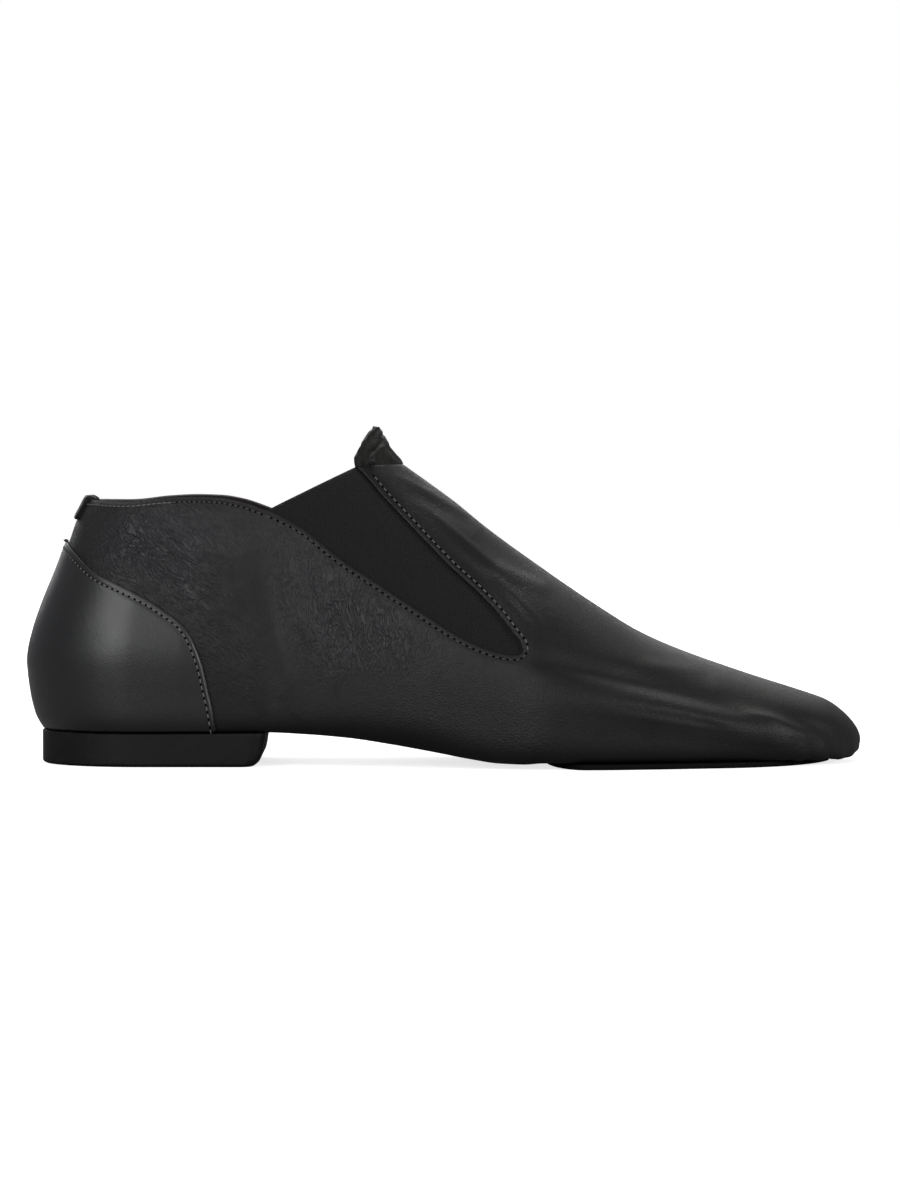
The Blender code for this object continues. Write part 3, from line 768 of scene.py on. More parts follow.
toplineAlong = alongOf(np.linspace(0, walkOf(goreTip), 160))
toplineSeam = seamLine(toplineAlong, topline(toplineAlong))
frontAlong, frontHeight = goreFrontLine(140)
frontSeam = seamLine(frontAlong, frontHeight)


def distanceTo(line, walk, height):
    # Least distance from each place to a line of short straight runs
    place = np.stack([walk, height], -1)
    best = np.full(len(place), 1.0)
    for a, b in zip(line[:-1], line[1:]):
        run = b - a
        share = np.clip(((place - a) @ run) / max(run @ run, 1e-18), 0, 1)
        best = np.minimum(best, np.linalg.norm(place - a - share[:, None] * run, axis=1))
    return best


def bell(distance, width):
    # Gauss bell: 1 at no distance, 0.37 a width away
    return np.exp(-((distance / width) ** 2))


# Creases of the leather. Millimetres in the side view: start, end, how far the
# middle bows to the left of the way, half width, height (below 0 a trough), shares on each side.
creaseTable = tableOf(
    "x0 z0 x1 z1 bow width height outer inner",
    (18, 35.0, 96, 14.3, 1.6, 3.0, -1.80, 1, 1),
    (30, 23.0, 108, 7.5, 0.8, 4.4, 1.50, 1, 1),
    (46, 19.0, 104, 7.0, 0.8, 1.2, -0.35, 1, 1),
    (75, 15.8, 105, 7.7, -1.9, 1.6, 0.45, 1, 0.8),
    (80, 23.0, 121, 6.6, 1.2, 2.4, -1.35, 1, 0.9),
    (57, 31.5, 77, 27.4, 0, 1.6, 0.40, 1, 0.8),
    (87, 16.4, 104, 11.6, 1.1, 1.6, 0.50, 1, 0.8),
    (-16, 87.2, 6, 73.9, 0.3, 1.0, 0.45, 1, 1),
    (-13, 82.1, 8, 70.2, 0.9, 1.5, -0.40, 1, 0.9),
    (-8, 78.6, 22, 54.1, -0.4, 1.0, 0.55, 1, 1),
    (-2, 70.9, 22, 51.0, 0, 1.8, -0.50, 1, 0.9),
    (9, 69.6, 29, 54.7, -0.8, 2.0, -0.70, 1, 0.9),
    (12, 59.8, 30, 40.6, 0, 1.3, 0.75, 1, 0.9),
    (12, 55.1, 26, 39.5, 0.8, 1.7, -0.70, 1, 0.8),
    (15, 60.8, 31, 51.9, -0.5, 1.8, 0.65, 1, 0.9),
    (16, 52.8, 51, 32.2, -3.7, 5.0, -0.60, 1, 0.9),
    (-75, 77.5, -69, 32.0, 0.9, 8.0, 0.90, 1, 0.8),
    (-56, 74.5, -48, 26.0, -0.5, 5.0, -1.50, 1, 0.7),
    (-61, 76.9, -57, 37.9, -0.1, 2.6, -0.35, 1, 0.7),
    (-42, 66.5, -36.5, 47.0, 0.3, 1.3, 0.50, 1, 0.7),
    (-44, 67.0, -38, 44.0, 0.1, 1.6, -0.35, 1, 0.7),
    (-35, 62.0, -31, 41.0, 0.7, 1.6, 0.40, 1, 0.8),
    (-31.5, 57.0, -28, 38.0, 0.9, 1.6, -0.35, 1, 0.8),
    (-28, 57.5, -26, 34.0, 1.0, 1.3, 0.40, 1, 0.8),
    (-25, 55.0, -22.5, 32.0, 0.1, 1.4, 0.45, 1, 0.8),
    (-22.5, 52.0, -17.5, 31.0, 0.2, 1.8, -0.35, 1, 0.8),
    (-44, 46.2, -40, 35.0, 0.2, 1.3, 0.50, 1, 0.8),
    (-32, 40.9, -34, 20.2, -0.1, 1.8, 0.35, 1, 0.8),
    (-94.5, 68.0, -83, 58.0, 0, 1.7, 0.75, 1, 0.8),
    (-99, 73.4, -81.5, 61.0, -1.0, 1.2, -0.45, 1, 0.8),
    (-99, 64.0, -83.5, 52.1, 0.3, 1.4, -0.40, 1, 0.8),
    (-75.5, 53.3, -62, 39.7, -0.6, 1.9, 0.85, 1, 0.9),
    (-76, 55.7, -58, 43.3, -0.1, 1.8, -0.50, 1, 0.9),
    (-84.5, 60.9, -71, 50.4, 0.3, 1.2, 0.35, 1, 0.8),
    (-56.5, 40.9, -46.5, 20.1, 0.4, 2.0, 0.40, 1, 0.8),
    (-63.5, 32.0, -53.5, 15.4, 0, 2.0, 0.35, 1, 0.8),
    (-50, 26.1, -41.5, 12.4, -0.3, 1.8, 0.30, 1, 0.8),
    (-69.5, 35.6, -63, 23.7, 0.1, 1.4, 0.30, 1, 0.8),
    (-60, 37.9, -50.5, 17.8, -0.3, 1.8, -0.35, 1, 0.8),
    (-12, 46.4, -8.5, 29.3, 0.8, 1.4, 0.25, 1, 0.8),
    (-3, 41.1, -3, 25.8, 0.6, 1.4, 0.22, 1, 0.8),
)


def creaseField(x, z, side):
    # Sum of bells of the distance to each bowed line, times a power of a half sine along it
    total = np.zeros_like(x)
    for x0, z0, x1, z1, bow, width, height, onOuter, onInner in zip(*creaseTable.values()):
        start, run = np.array([x0, z0]) * mm, np.array([x1 - x0, z1 - z0]) * mm
        length = np.linalg.norm(run)
        along = ((x - start[0]) * run[0] + (z - start[1]) * run[1]) / length**2
        off = (-(x - start[0]) * run[1] + (z - start[1]) * run[0]) / length
        t = np.clip(along, 0, 1)
        off = off - bow * mm * 4 * t * (1 - t)
        fade = np.sin(math.pi * t) ** 0.8 * (along > 0) * (along < 1)
        weight = np.where(side == outer, onOuter, onInner)
        total += height * mm * bell(off, width * mm) * fade * weight
    return total


# Patches of fine creases in the side view: middle, reach, and how strong the upright and the
# slanting ones are. Millimetres and shares.
crinkleTable = tableOf(
    "x z reachX reachZ upright slanting",
    (-34, 45, 11, 15, 1.00, 0.00), (-24, 43, 9, 10, 0.80, 0.00), (-44, 62, 10, 14, 0.45, 0.15),
    (-14, 38, 12, 9, 0.45, 0.00), (-93, 66, 15, 11, 0.00, 0.95), (-78, 54, 13, 13, 0.00, 0.70),
    (-64, 36, 13, 14, 0.00, 0.40), (-70, 71, 22, 10, 0.40, 0.35), (20, 50, 10, 13, 0.22, 0.15),
    (-6, 76, 10, 9, 0.00, 0.25), (55, 21, 22, 6, 0.10, 0.10),
)


def crinkleOf(x, z, column):
    # Sum of round bells at the patches, up to 1.2
    total = np.zeros_like(x)
    for midX, midZ, reachX, reachZ, amount in zip(
        *(crinkleTable[label] for label in ("x", "z", "reachX", "reachZ", column))
    ):
        spread = ((x / mm - midX) / reachX) ** 2 + ((z / mm - midZ) / reachZ) ** 2
        total = total + amount * np.exp(-spread)
    return np.clip(total, 0, 1.2)


upperLook = {
    "edgeRoll": 0.00045,
    "edgeRollWidth": 0.0009,
    "ridgeCalm": 0.010,
    "seamCalm": 0.003,
    "seamCalmShare": 0.75,
    "stitchInset": 0.0015,
    "frontRowTop": 0.0868,
    "swell": 0.0016,
    "swellHeight": 0.034,
    "swellReach": 0.015,
    "swellEnd": 0.34,
    "swellFade": 0.16,
    "grooveDepth": 0.00022,
    "grooveWidth": 0.0008,
    "pleats": 27,
    "pleatHeight": 0.00032,
    "pleatTop": 0.0085,
    "pleatReach": 0.012,
    "pleatFloor": 0.0012,
    "tipReach": 0.03,
}


def heelSwell(along, z):
    # A soft belly round the heel: a bell of the height, fading out along the quarter
    fade = np.clip((upperLook["swellEnd"] - along) / upperLook["swellFade"], 0, 1)
    return upperLook["swell"] * bell(z - upperLook["swellHeight"], upperLook["swellReach"]) * fade


def upperRelief(points, notes):
    # How far the leather stands off its smooth form: creases, the heel's belly, less the rolled edge
    # and the groove of the seams, and the toe's pleats as a cosine of the angle round the toe
    x, y, z = points.T
    side, along = notes["side"], notes["along"]
    walk = walkOf(along)
    fromRidge = np.abs(y - centreBend(along))
    nearRidge = np.clip(fromRidge / upperLook["ridgeCalm"], 0, 1)
    depth = creaseField(x, z, side) * nearRidge**2 * (3 - 2 * nearRidge)
    edge = np.minimum(distanceTo(toplineSeam, walk, z), distanceTo(frontSeam, walk, z))
    calm = 1 - upperLook["seamCalmShare"] * bell(edge, upperLook["seamCalm"])
    depth = depth * calm + heelSwell(along, z)
    depth -= upperLook["edgeRoll"] * bell(edge, upperLook["edgeRollWidth"])
    depth -= upperLook["grooveDepth"] * bell(edge - upperLook["stitchInset"], upperLook["grooveWidth"])
    middle = tip - last["toeRound"]
    angle = np.arctan2(y - centreBend(along), np.maximum(x - middle, 1e-6))
    toe = np.clip((x - middle) / upperLook["pleatReach"], 0, 1)
    low = np.clip(1 - z / upperLook["pleatTop"], 0, 1)
    uneven = 0.7 + 0.3 * np.sin(5 * angle)
    waves = np.cos(angle * upperLook["pleats"] + 1.9 * np.sin(3.7 * angle)) * uneven
    depth += upperLook["pleatHeight"] * waves * toe * np.sqrt(low) * (z > upperLook["pleatFloor"])
    return depth


def makeUpper():
    # The last's skin on three grids a side: bottom and side up to the collar, the toe's top, and the
    # vamp between the gore's front seam and the ridge. They meet at the ridge, the back line and the
    # gore's tip, and the wall is laid inside.
    nearTip = goreTip - upperLook["tipReach"]
    places = np.unique(np.concatenate([
        aroundHeel(40),
        np.linspace(last["heelRound"] / span, heelOpening[1], 30),
        np.linspace(heelOpening[1], nearTip, 96),
        goreTip - upperLook["tipReach"] * np.linspace(1, 0, 24) ** 2,
        np.linspace(goreTip, forefootOpening[0], 18),
        np.linspace(forefootOpening[0], 1 - last["toeRound"] / span, 62),
        aroundToe(34),
    ]).round(7))
    front = places[places >= goreTip - 1e-6]
    low, middle, top = levels(goreTip)
    splitShare = (topline(goreTip) - middle) / (top - middle)
    steps = np.sin(np.linspace(0, math.pi / 2, 38))[:, None]
    grids = []
    for side in (outer, inner):
        low, middle, top = levels(places)
        split = middle + splitShare * (top - middle)
        edge = np.where(places > goreTip + 1e-6, split, topline(places))
        flat = [bottom(side, places, share) for share in np.linspace(0, 1, 7)]
        under = [skin(side, places, middle - (1 - t) ** 0.45 * (middle - low))
                 for t in np.linspace(0, 1, 17)[1:]]
        up = [skin(side, places, middle + t * (edge - middle)) for t in np.linspace(0, 1, 35)[1:]]
        grids.append((flat + under + up, side == inner, {"side": side, "along": places}))
        low, middle, top = levels(front)
        split = middle + splitShare * (top - middle)
        grids.append((
            skin(side, front[None], split + steps * (top - split)),
            side == inner, {"side": side, "along": front},
        ))
        frontAlongs, heights = goreFrontLine(72)
        rise = np.linspace(1, 0, 72)
        crest = vampTop + (1 - rise) * (goreTip - vampTop)
        along = frontAlongs + steps * (crest - frontAlongs)
        height = heights + steps * (levels(crest)[2] - heights)
        grids.append((skin(side, along, height), side == inner, {"side": side, "along": along}))
    points, triangles, notes = weld(grids)
    normals = normalsOf(points, triangles)
    points = points + normals * upperRelief(points, notes)[:, None]
    x, _, z = points.T
    # How creased each place is: the fine creases' bump, and the mask of the paler worn grey with painted
    # highlight
    values = {
        "Upright": crinkleOf(x, z, "upright"),
        "Slanting": crinkleOf(x, z, "slanting"),
    }
    made = makeObject("upper_leather", points, triangles, [softLeather, liningLeather],
                      "upper", values)
    addWall(made, last["wall"], 1)


makeUpper()
print("upper made")


counterLook = {
    "edgeRoll": 0.00012,
    "edgeRollWidth": 0.0006,
    "groove": 0.00012,
    "grooveWidth": 0.0005,
    "stitchInset": 0.0016,
    "tipCut": 0.0012,
}


def makeCounter():
    # The same skin from the bottom up to the counter's edge, lifted by the gap, its own thickness and
    # the belly, less bells at its edge and under its stitches
    low, middle, _ = levels(last["heelRound"] / span)
    down = [(t, middle - t * (middle - low)) for t in np.linspace(0.90, 0, 26) ** 0.5]
    heights = np.linspace(middle, last["counterHeight"], 300)
    seam = seamLine(counterEdge(heights), heights)
    length = np.concatenate([[0], np.cumsum(np.linalg.norm(np.diff(seam, axis=0), axis=1))])
    steps = np.linspace(0, length[-1] - counterLook["tipCut"], 74)[1:]
    up = [(0, height) for height in np.interp(steps, length, heights)]
    grids = []
    for side in (outer, inner):
        rows, alongs = [], []
        for below, height in down + up:
            along = alongOf(np.linspace(0, walkOf(counterEdge(height)), 60))
            floor = levels(along)[0]
            rowHeight = height if height > middle else middle - below * (middle - floor)
            rows.append(skin(side, along, rowHeight + 0 * along))
            alongs.append(along)
        grids.append((rows, side == inner, {"along": np.array(alongs)}))
    points, triangles, notes = weld(grids)
    normals = normalsOf(points, triangles)
    seamHeights = np.linspace(low, last["counterHeight"], 90)
    line = seamLine(counterEdge(seamHeights), seamHeights)
    edge = distanceTo(line, walkOf(notes["along"]), points[:, 2])
    lift = last["gap"] + last["counterThickness"] + heelSwell(notes["along"], points[:, 2])
    lift = lift - counterLook["edgeRoll"] * bell(edge, counterLook["edgeRollWidth"])
    lift -= counterLook["groove"] * bell(edge - counterLook["stitchInset"], counterLook["grooveWidth"])
    points = points + normals * lift[:, None]
    made = makeObject("counter_leather", points, triangles, [counterLeather],
                      "heel_counter")
    addWall(made, last["counterThickness"])
    return line


counterLine = makeCounter()
print("counter made")


goreLook = {
    # how far the web reaches under the leather, as shares of the seam's margin: along, up
    "underLower": (-0.35, -0.94),
    "underLowerTop": (-0.90, -0.42),
    "underFront": (0.80, 0.45),
    "underFrontTop": (0.95, -0.20),
    "pastTip": (0.5, -0.5),
    "rows": 90,
    "easeRows": 6.0,
}


def makeGore(name, node, side):
    # The skin between a line under the quarter and one under the vamp: each place is a straight share
    # of the way across, moved inwards by the wall and the gap. Both lines ease into their free ends.
    count = goreLook["rows"]
    fall = np.linspace(0, 1, count)
    margin = last["seamMargin"] * np.array([1 / span, 1])
    front = np.stack(goreFrontLine(count), -1)
    lowerAlong = goreStart + fall * (goreTip - goreStart)
    lower = np.stack([lowerAlong, topline(lowerAlong)], -1)
    ease = (np.exp(-np.arange(count) / goreLook["easeRows"]) * (np.arange(count) < 30))[:, None]

    def tucked(line, middle, top):
        # The line moved under the leather, its first rows eased to where its top end goes
        moved = line + goreLook[middle] * margin
        moved[0] = line[0] + goreLook[top] * margin
        return moved + ease * (moved[0] - moved)

    under = tucked(lower, "underLower", "underLowerTop")
    past = tucked(front, "underFront", "underFrontTop")
    tipDrop = fall[:, None] ** 14 * goreLook["pastTip"] * margin
    rows = [under + (lower - under) * t for t in np.linspace(0, 1, 6)]
    rows += [lower + (front - lower) * t for t in np.linspace(0, 1, 40)[1:]]
    rows += [front + (past - front) * t for t in np.linspace(0, 1, 6)[1:]]
    grid = np.array([skin(side, *(row + tipDrop).T) for row in rows])
    points, triangles, _ = weld([(grid, side == inner, {})])
    points = points - normalsOf(points, triangles) * (last["wall"] + last["gap"])
    made = makeObject(name, points, triangles, [elasticWeb], node)
    addWall(made, last["elasticThickness"])


makeGore("elastic_outer", "gore_outer", outer)
makeGore("elastic_inner", "gore_inner", inner)
print("gores made")


tabLook = {
    "thickness": 0.0015,
    "puckers": 0.00030,
    "fold": 0.0006,
    "foldWidth": 0.0008,
    "foldPlace": (-0.0215, 0.0050),
    "foldLean": 0.75,
    "ridgeBeside": 0.0020,
    "ridgeWidth": 0.0011,
    "overlap": 0.0002,
    "tuck": 0.00003,
    "tuckRise": 0.02,
}


def makeFrontTab():
    # The skin above the vamp, flared forwards by its table: puckers are sines of X, Y and Z, and one
    # slanting line has a bell of depth with a lower bell of height beside it
    vampDepth = (vampTop - goreFrontTable["along"][0]) * span
    rise = np.linspace(0, 1, 56)
    flareFront = smoothCurve(frontTabTable["rise"], frontTabTable["front"])(rise)
    flareBack = smoothCurve(frontTabTable["rise"], frontTabTable["back"])(rise)
    base = instepHeight - tabLook["overlap"]
    heights = base + rise * (last["frontTabHeight"] + tabLook["overlap"])
    search = np.linspace(0.2, goreTip, 600)
    crest = np.interp(-heights, -ridgeHeight(search), search)
    flare = station(vampTop, instepHeight) - flareFront * vampDepth - station(crest, heights)
    edge = crest - (flareBack - flareFront) * vampDepth / span
    steps = np.sin(np.linspace(0, math.pi / 2, 50))
    grids = []
    for side in (outer, inner):
        rows = []
        for step in steps:
            points = skin(side, edge + step * (crest - edge), heights)
            points[:, 0] += flare
            rows.append(points)
        grids.append((rows, side == outer, {"rise": rise}))
    points, triangles, notes = weld(grids)
    normals = normalsOf(points, triangles)
    up = notes["rise"]
    x, y, z = points.T
    wave = np.sin(x * 1250 + 1.6 * np.sin(z * 600)) + 0.6 * np.sin(y * 900 + z * 500 + 1.0)
    depth = tabLook["puckers"] * wave * np.sin(math.pi * np.clip(up, 0, 1)) ** 0.5
    foldX, foldZ = tabLook["foldPlace"]
    slant = (x - foldX) - tabLook["foldLean"] * (z - instepHeight - foldZ) + 0.0007 * np.sin(z * 1100)
    fade = np.clip(up * 5, 0, 1) * np.clip((1 - up) * 4, 0, 1)
    depth -= tabLook["fold"] * bell(slant, tabLook["foldWidth"]) * fade
    beside = bell(slant - tabLook["ridgeBeside"], tabLook["ridgeWidth"])
    depth += 0.5 * tabLook["fold"] * beside * fade
    depth -= tabLook["tuck"] * (1 - np.clip(up / tabLook["tuckRise"], 0, 1))
    points = points + normals * depth[:, None]
    made = makeObject("front_tab_leather", points, triangles, [tabLeather], "front_tab")
    addWall(made, tabLook["thickness"])


makeFrontTab()


def onHeel(turn, height, depth):
    # A place on the heel's round at a signed angle, moved inwards by depth
    def outside(angle, level):
        # The skin at the angle: the inner side's above 0, the outer side's below
        along = last["heelRound"] / span * (1 - np.cos(angle))
        both = [skin(side, along, level) for side in (outer, inner)]
        return np.where((angle >= 0)[..., None], both[1], both[0])

    step = 1e-4
    sideways = outside(turn + step, height) - outside(turn - step, height)
    upwards = outside(turn, height + step) - outside(turn, height - step)
    normal = np.cross(upwards, sideways)
    normal /= np.linalg.norm(normal, axis=-1, keepdims=True)
    return outside(turn, height) - np.asarray(depth)[..., None] * normal


backTabLook = {
    "thickness": 0.0008,
    "drop": 0.0062,
    "halfWidth": 0.006,
    "uneven": 0.00012,
}


def makeBackTab():
    # A strip folded over the collar: a round-cornered profile of rise and depth carried round the back
    out, inside = -last["gap"], last["wall"] + 2 * last["gap"]
    thick, drop = backTabLook["thickness"], backTabLook["drop"]
    profile = tableOf(
        "rise depth",
        (-drop, out), (-drop - 0.0001, out - 0.4 * thick), (-drop + 0.0002, out - 0.95 * thick),
        (-0.8 * drop, out - 1.1 * thick), (-0.5 * drop, out - thick), (-0.2 * drop, out - 1.1 * thick),
        (0, out - thick), (0.6 * thick, out - 0.8 * thick), (1.2 * thick, 0.0),
        (1.35 * thick, last["wall"] / 2), (1.2 * thick, inside), (0.6 * thick, inside + 0.8 * thick),
        (0, inside + thick), (-0.4 * drop, inside + thick), (-0.8 * drop, inside + thick),
        (-0.8 * drop, inside), (-0.4 * drop, inside), (last["gap"], inside), (last["gap"], out),
        (-0.5 * drop, out),
    )
    turnReach = math.asin(backTabLook["halfWidth"] / (0.28 * last["ballWidth"]))
    rings = []
    for turn in np.linspace(-turnReach, turnReach, 25):
        shape = np.full(len(profile["rise"]), turn)
        height = topline(0.0) + profile["rise"] + backTabLook["uneven"] * np.sin(turn * 60)
        rings.append(onHeel(shape, height, profile["depth"]))
    points, triangles = closedLoft(rings)
    made = makeObject("back_tab_leather", points, triangles[:, ::-1], [tabLeather],
                      "back_tab")
    made.data.set_sharp_from_angle(angle=math.radians(50))


makeBackTab()
print("tabs made")


heelLook = {
    "breastCorner": 0.004,
}


def heelOutline(inset, breast):
    # Plan of the heel: a quarter ellipse at the back and a quarter circle at the breast, mirrored
    half, corner = heelHigh[1] - inset, heelLook["breastCorner"]
    back, front = np.linspace(0, math.pi / 2, 49), np.linspace(math.pi / 2, 0, 17)
    x = np.concatenate([heelLow[0] + inset + last["heelRound"] * (1 - np.cos(back)),
                        breast - corner + corner * np.cos(front)])
    y = np.concatenate([half * np.sin(back), half - corner + corner * np.sin(front)])
    return np.column_stack([np.append(x, x[:0:-1]), np.append(y, -y[:0:-1])])


def makeHeel():
    # The heel block: its plan at a stack of levels, set back and inset there by the heel's table
    height = heelHigh[2]
    shares = np.concatenate([[0, 0.012, 0.03, 0.055], np.linspace(0.08, 0.94, 22), [0.97, 0.99, 1]])
    setback = smoothCurve(heelTable["height"], heelTable["setback"])(shares) * height
    inset = smoothCurve(heelTable["height"], heelTable["inset"])(shares) * heelLook["breastCorner"]
    rings = []
    for share, back, ease in zip(shares, setback, inset):
        plan = heelOutline(ease, heelHigh[0] - back)
        rings.append(np.column_stack([plan, np.full(len(plan), share * height)]))
    points, triangles = closedLoft(rings)
    made = makeObject("heel_block", points, triangles, [heelRubber], "heel")
    made.data.set_sharp_from_angle(angle=math.radians(35))


makeHeel()


padLook = {
    "backRound": 0.012,
    "frontRound": 0.032,
    "pastFeather": 0.003,
    "rim": 0.0005,
    "liftFrom": 0.890,
    "liftTo": 0.962,
    "lift": 0.0003,
}


def padOutline(count):
    # Edges of the forefoot pad: the flat bottom and a little more, times a quarter circle at each end
    start, end = padLow[0] - rear, padHigh[0] - rear
    turn = np.linspace(0, math.pi, count)
    x = start + (end - start) * (1 - np.cos(turn)) / 2
    along = x / span
    ends = rounding(x - start, padLook["backRound"]) * rounding(end - x, padLook["frontRound"])
    edges = {}
    for side in (outer, inner):
        reachOut = sideReach[side](along) - featherInset(along) + padLook["pastFeather"]
        edges[side] = centreBend(along) + side * ends * reachOut
    return along, x + rear, edges


def slabPiece(name, x, edges, lows, tops, ease, material, node):
    # A thin body between two faces. Its outline is drawn in towards its middle line, on the faces
    # by shares and at the rim by a quarter circle below and half of one above.
    plan = np.concatenate([
        np.column_stack([x, edges[outer]]),
        np.column_stack([x, edges[inner]])[-2:0:-1],
    ])
    low = np.concatenate([lows, lows[-2:0:-1]])
    high = np.concatenate([tops, tops[-2:0:-1]])
    centreLine = np.column_stack([x, (edges[outer] + edges[inner]) / 2])
    middles = np.concatenate([centreLine, centreLine[-2:0:-1]])
    reach = np.maximum(np.linalg.norm(plan - middles, axis=1, keepdims=True), 1e-9)
    rings = [np.column_stack([middles + (plan - middles) * share, low]) for share in (0, 0.5)]
    for angle in np.linspace(0, math.pi / 2, 6):
        pull = 1 - np.minimum(ease * (1 - math.sin(angle)) / reach, 0.9)
        rings.append(np.column_stack([middles + (plan - middles) * pull,
                                      low + ease * (1 - math.cos(angle))]))
    for angle in np.linspace(math.pi / 2, 0, 6):
        pull = 1 - np.minimum(0.5 * ease * (1 - math.sin(angle)) / reach, 0.9)
        rings.append(np.column_stack([middles + (plan - middles) * pull,
                                      high - 0.5 * ease * (1 - math.cos(angle))]))
    rings.append(np.column_stack([middles + (plan - middles) * 0.5, high]))
    rings.append(np.column_stack([middles, high]))
    grid = np.array(rings)[::-1]
    grid = np.concatenate([grid, grid[:, :1]], axis=1)
    points, triangles, _ = weld([(grid, False, {})])
    made = makeObject(name, points, triangles, [material], node)
    made.data.set_sharp_from_angle(angle=math.radians(60))


def makePad():
    # The pad under the upper; its front end lifts off the floor with the square of the way
    along, x, edges = padOutline(120)
    rise = np.clip((along - padLook["liftFrom"]) / (padLook["liftTo"] - padLook["liftFrom"]), 0, 1)
    tops = levels(along)[0] - last["gap"]
    slabPiece("forefoot_pad", x, edges, rise**2 * padLook["lift"], tops, padLook["rim"], padRubber,
              "forefoot_sole")


makePad()


insoleLook = {
    "start": 0.016,
    "end": 0.945,
    "inset": 0.001,
    "thickness": 0.0015,
    "rim": 0.0006,
    "toeRound": 0.014,
    "heelRound": 0.004,
}


def makeInsole():
    # A thin slab on the upper's floor: the flat bottom less an inset, rounded at both ends
    start, end = insoleLook["start"], insoleLook["end"]
    turn = np.linspace(0, math.pi, 140)
    along = start + (end - start) * (1 - np.cos(turn)) / 2
    low = levels(along)[0]
    edges = {}
    for side in (outer, inner):
        half = np.maximum(flatHalf(side, along) - insoleLook["inset"], insoleLook["inset"] / 2)
        half = half * rounding((end - along) * span, insoleLook["toeRound"])
        half = half * rounding((along - start) * span + last["gap"], insoleLook["heelRound"])
        edges[side] = centreBend(along) + side * half
    base = low + last["wall"] + last["gap"]
    slabPiece("insole_sock", station(along, low), edges, base, base + insoleLook["thickness"],
              insoleLook["rim"], insoleLeather, "insole")


makeInsole()
print("soles made")


# Stitches


def offsetLine(line, distance):
    # The same line moved to the right of its way
    run = np.gradient(line, axis=0)
    run /= np.linalg.norm(run, axis=1, keepdims=True)
    return line + distance * np.stack([run[:, 1], -run[:, 0]], -1)


def spaced(line, pitch):
    # Places at even steps along a line, and the way it runs there
    length = np.concatenate([[0], np.cumsum(np.linalg.norm(np.diff(line, axis=0), axis=1))])
    at = np.arange(pitch / 2, length[-1], pitch)
    place = np.stack([np.interp(at, length, line[:, i]) for i in range(2)], -1)
    ahead = np.stack([np.interp(at + pitch / 4, length, line[:, i]) for i in range(2)], -1)
    return place, ahead


def counterRelief(points, notes):
    # The counter's outer face beside its edge: the soft belly of the heel
    return heelSwell(notes["along"], points[:, 2])


def onSkin(side, line, lift, relief):
    # Places of the unrolled line on the last, moved along its normal by a lift and a piece's relief.
    # The normal is the cross product of two short ways on the skin.
    def at(walk, height):
        # The last's surface at a place of the unrolled side
        return skin(side, alongOf(walk), height)

    walk, height = line.T
    step = 2e-4
    across = at(walk + step, height) - at(np.maximum(walk - step, 0), height)
    upwards = at(walk, height + step) - at(walk, height - step)
    normal = -side * np.cross(across, upwards)
    normal *= np.where(normal[:, 1] * side < 0, -1, 1)[:, None]
    normal /= np.linalg.norm(normal, axis=1, keepdims=True)
    points = at(walk, height)
    depth = relief(points, {"side": np.full(len(walk), side), "along": alongOf(walk)})
    return points + normal * (lift + np.broadcast_to(depth, walk.shape))[:, None], normal


def stitchRow(name, rows, size, material):
    # Each stitch is a small spindle: its width is a half sine along its length
    u, v = np.meshgrid(np.linspace(-1, 1, 7), np.linspace(0, 2 * math.pi, 7), indexing="ij")
    thin = np.sqrt(np.clip(1 - u**2, 0, 1))
    allPoints, allFaces, start = [], [], 0
    faces = quadsOf(np.arange(49).reshape(7, 7))
    for centre, way, normal in rows:
        way = way / np.linalg.norm(way, axis=1, keepdims=True)
        across = np.cross(normal, way)
        shape = (
            way[:, None, None, :] * (u * size[0] / 2)[None, :, :, None]
            + across[:, None, None, :] * (thin * np.cos(v) * size[1] / 2)[None, :, :, None]
            + normal[:, None, None, :] * (thin * np.sin(v) * size[2] / 2)[None, :, :, None]
        ) + centre[:, None, None, :]
        allPoints.append(shape.reshape(-1, 3))
        block = start + np.arange(len(centre))[:, None, None] * 49 + faces[None]
        allFaces.append(block.reshape(-1, 3))
        start += len(centre) * 49
    points = np.concatenate(allPoints)
    faces, first = mergeNear(points, np.concatenate(allFaces), 1e-6)
    makeObject(name, points[first], faces, [material], None)


stitchLook = {
    "pitch": 0.0021,
    "size": (0.0015, 0.00042, 0.00034),
    "holeShadeSize": (0.00090, 0.00075, 0.00044),
    "lift": 0.00008,
    "counterLift": 0.00108,
    "counterHoleShadeLift": 0.00100,
    "lightUntil": 0.050,
}


def rowOn(side, line, lift, relief, shift):
    # Centres, ways and normals at even steps; a shift of two quarter pitches puts them in between
    place, ahead = spaced(line, stitchLook["pitch"])
    step = ahead - place
    centre, normal = onSkin(side, place + shift * step, lift, relief)
    further, _ = onSkin(side, place + (shift + 1) * step, lift, relief)
    return centre, further - centre, normal


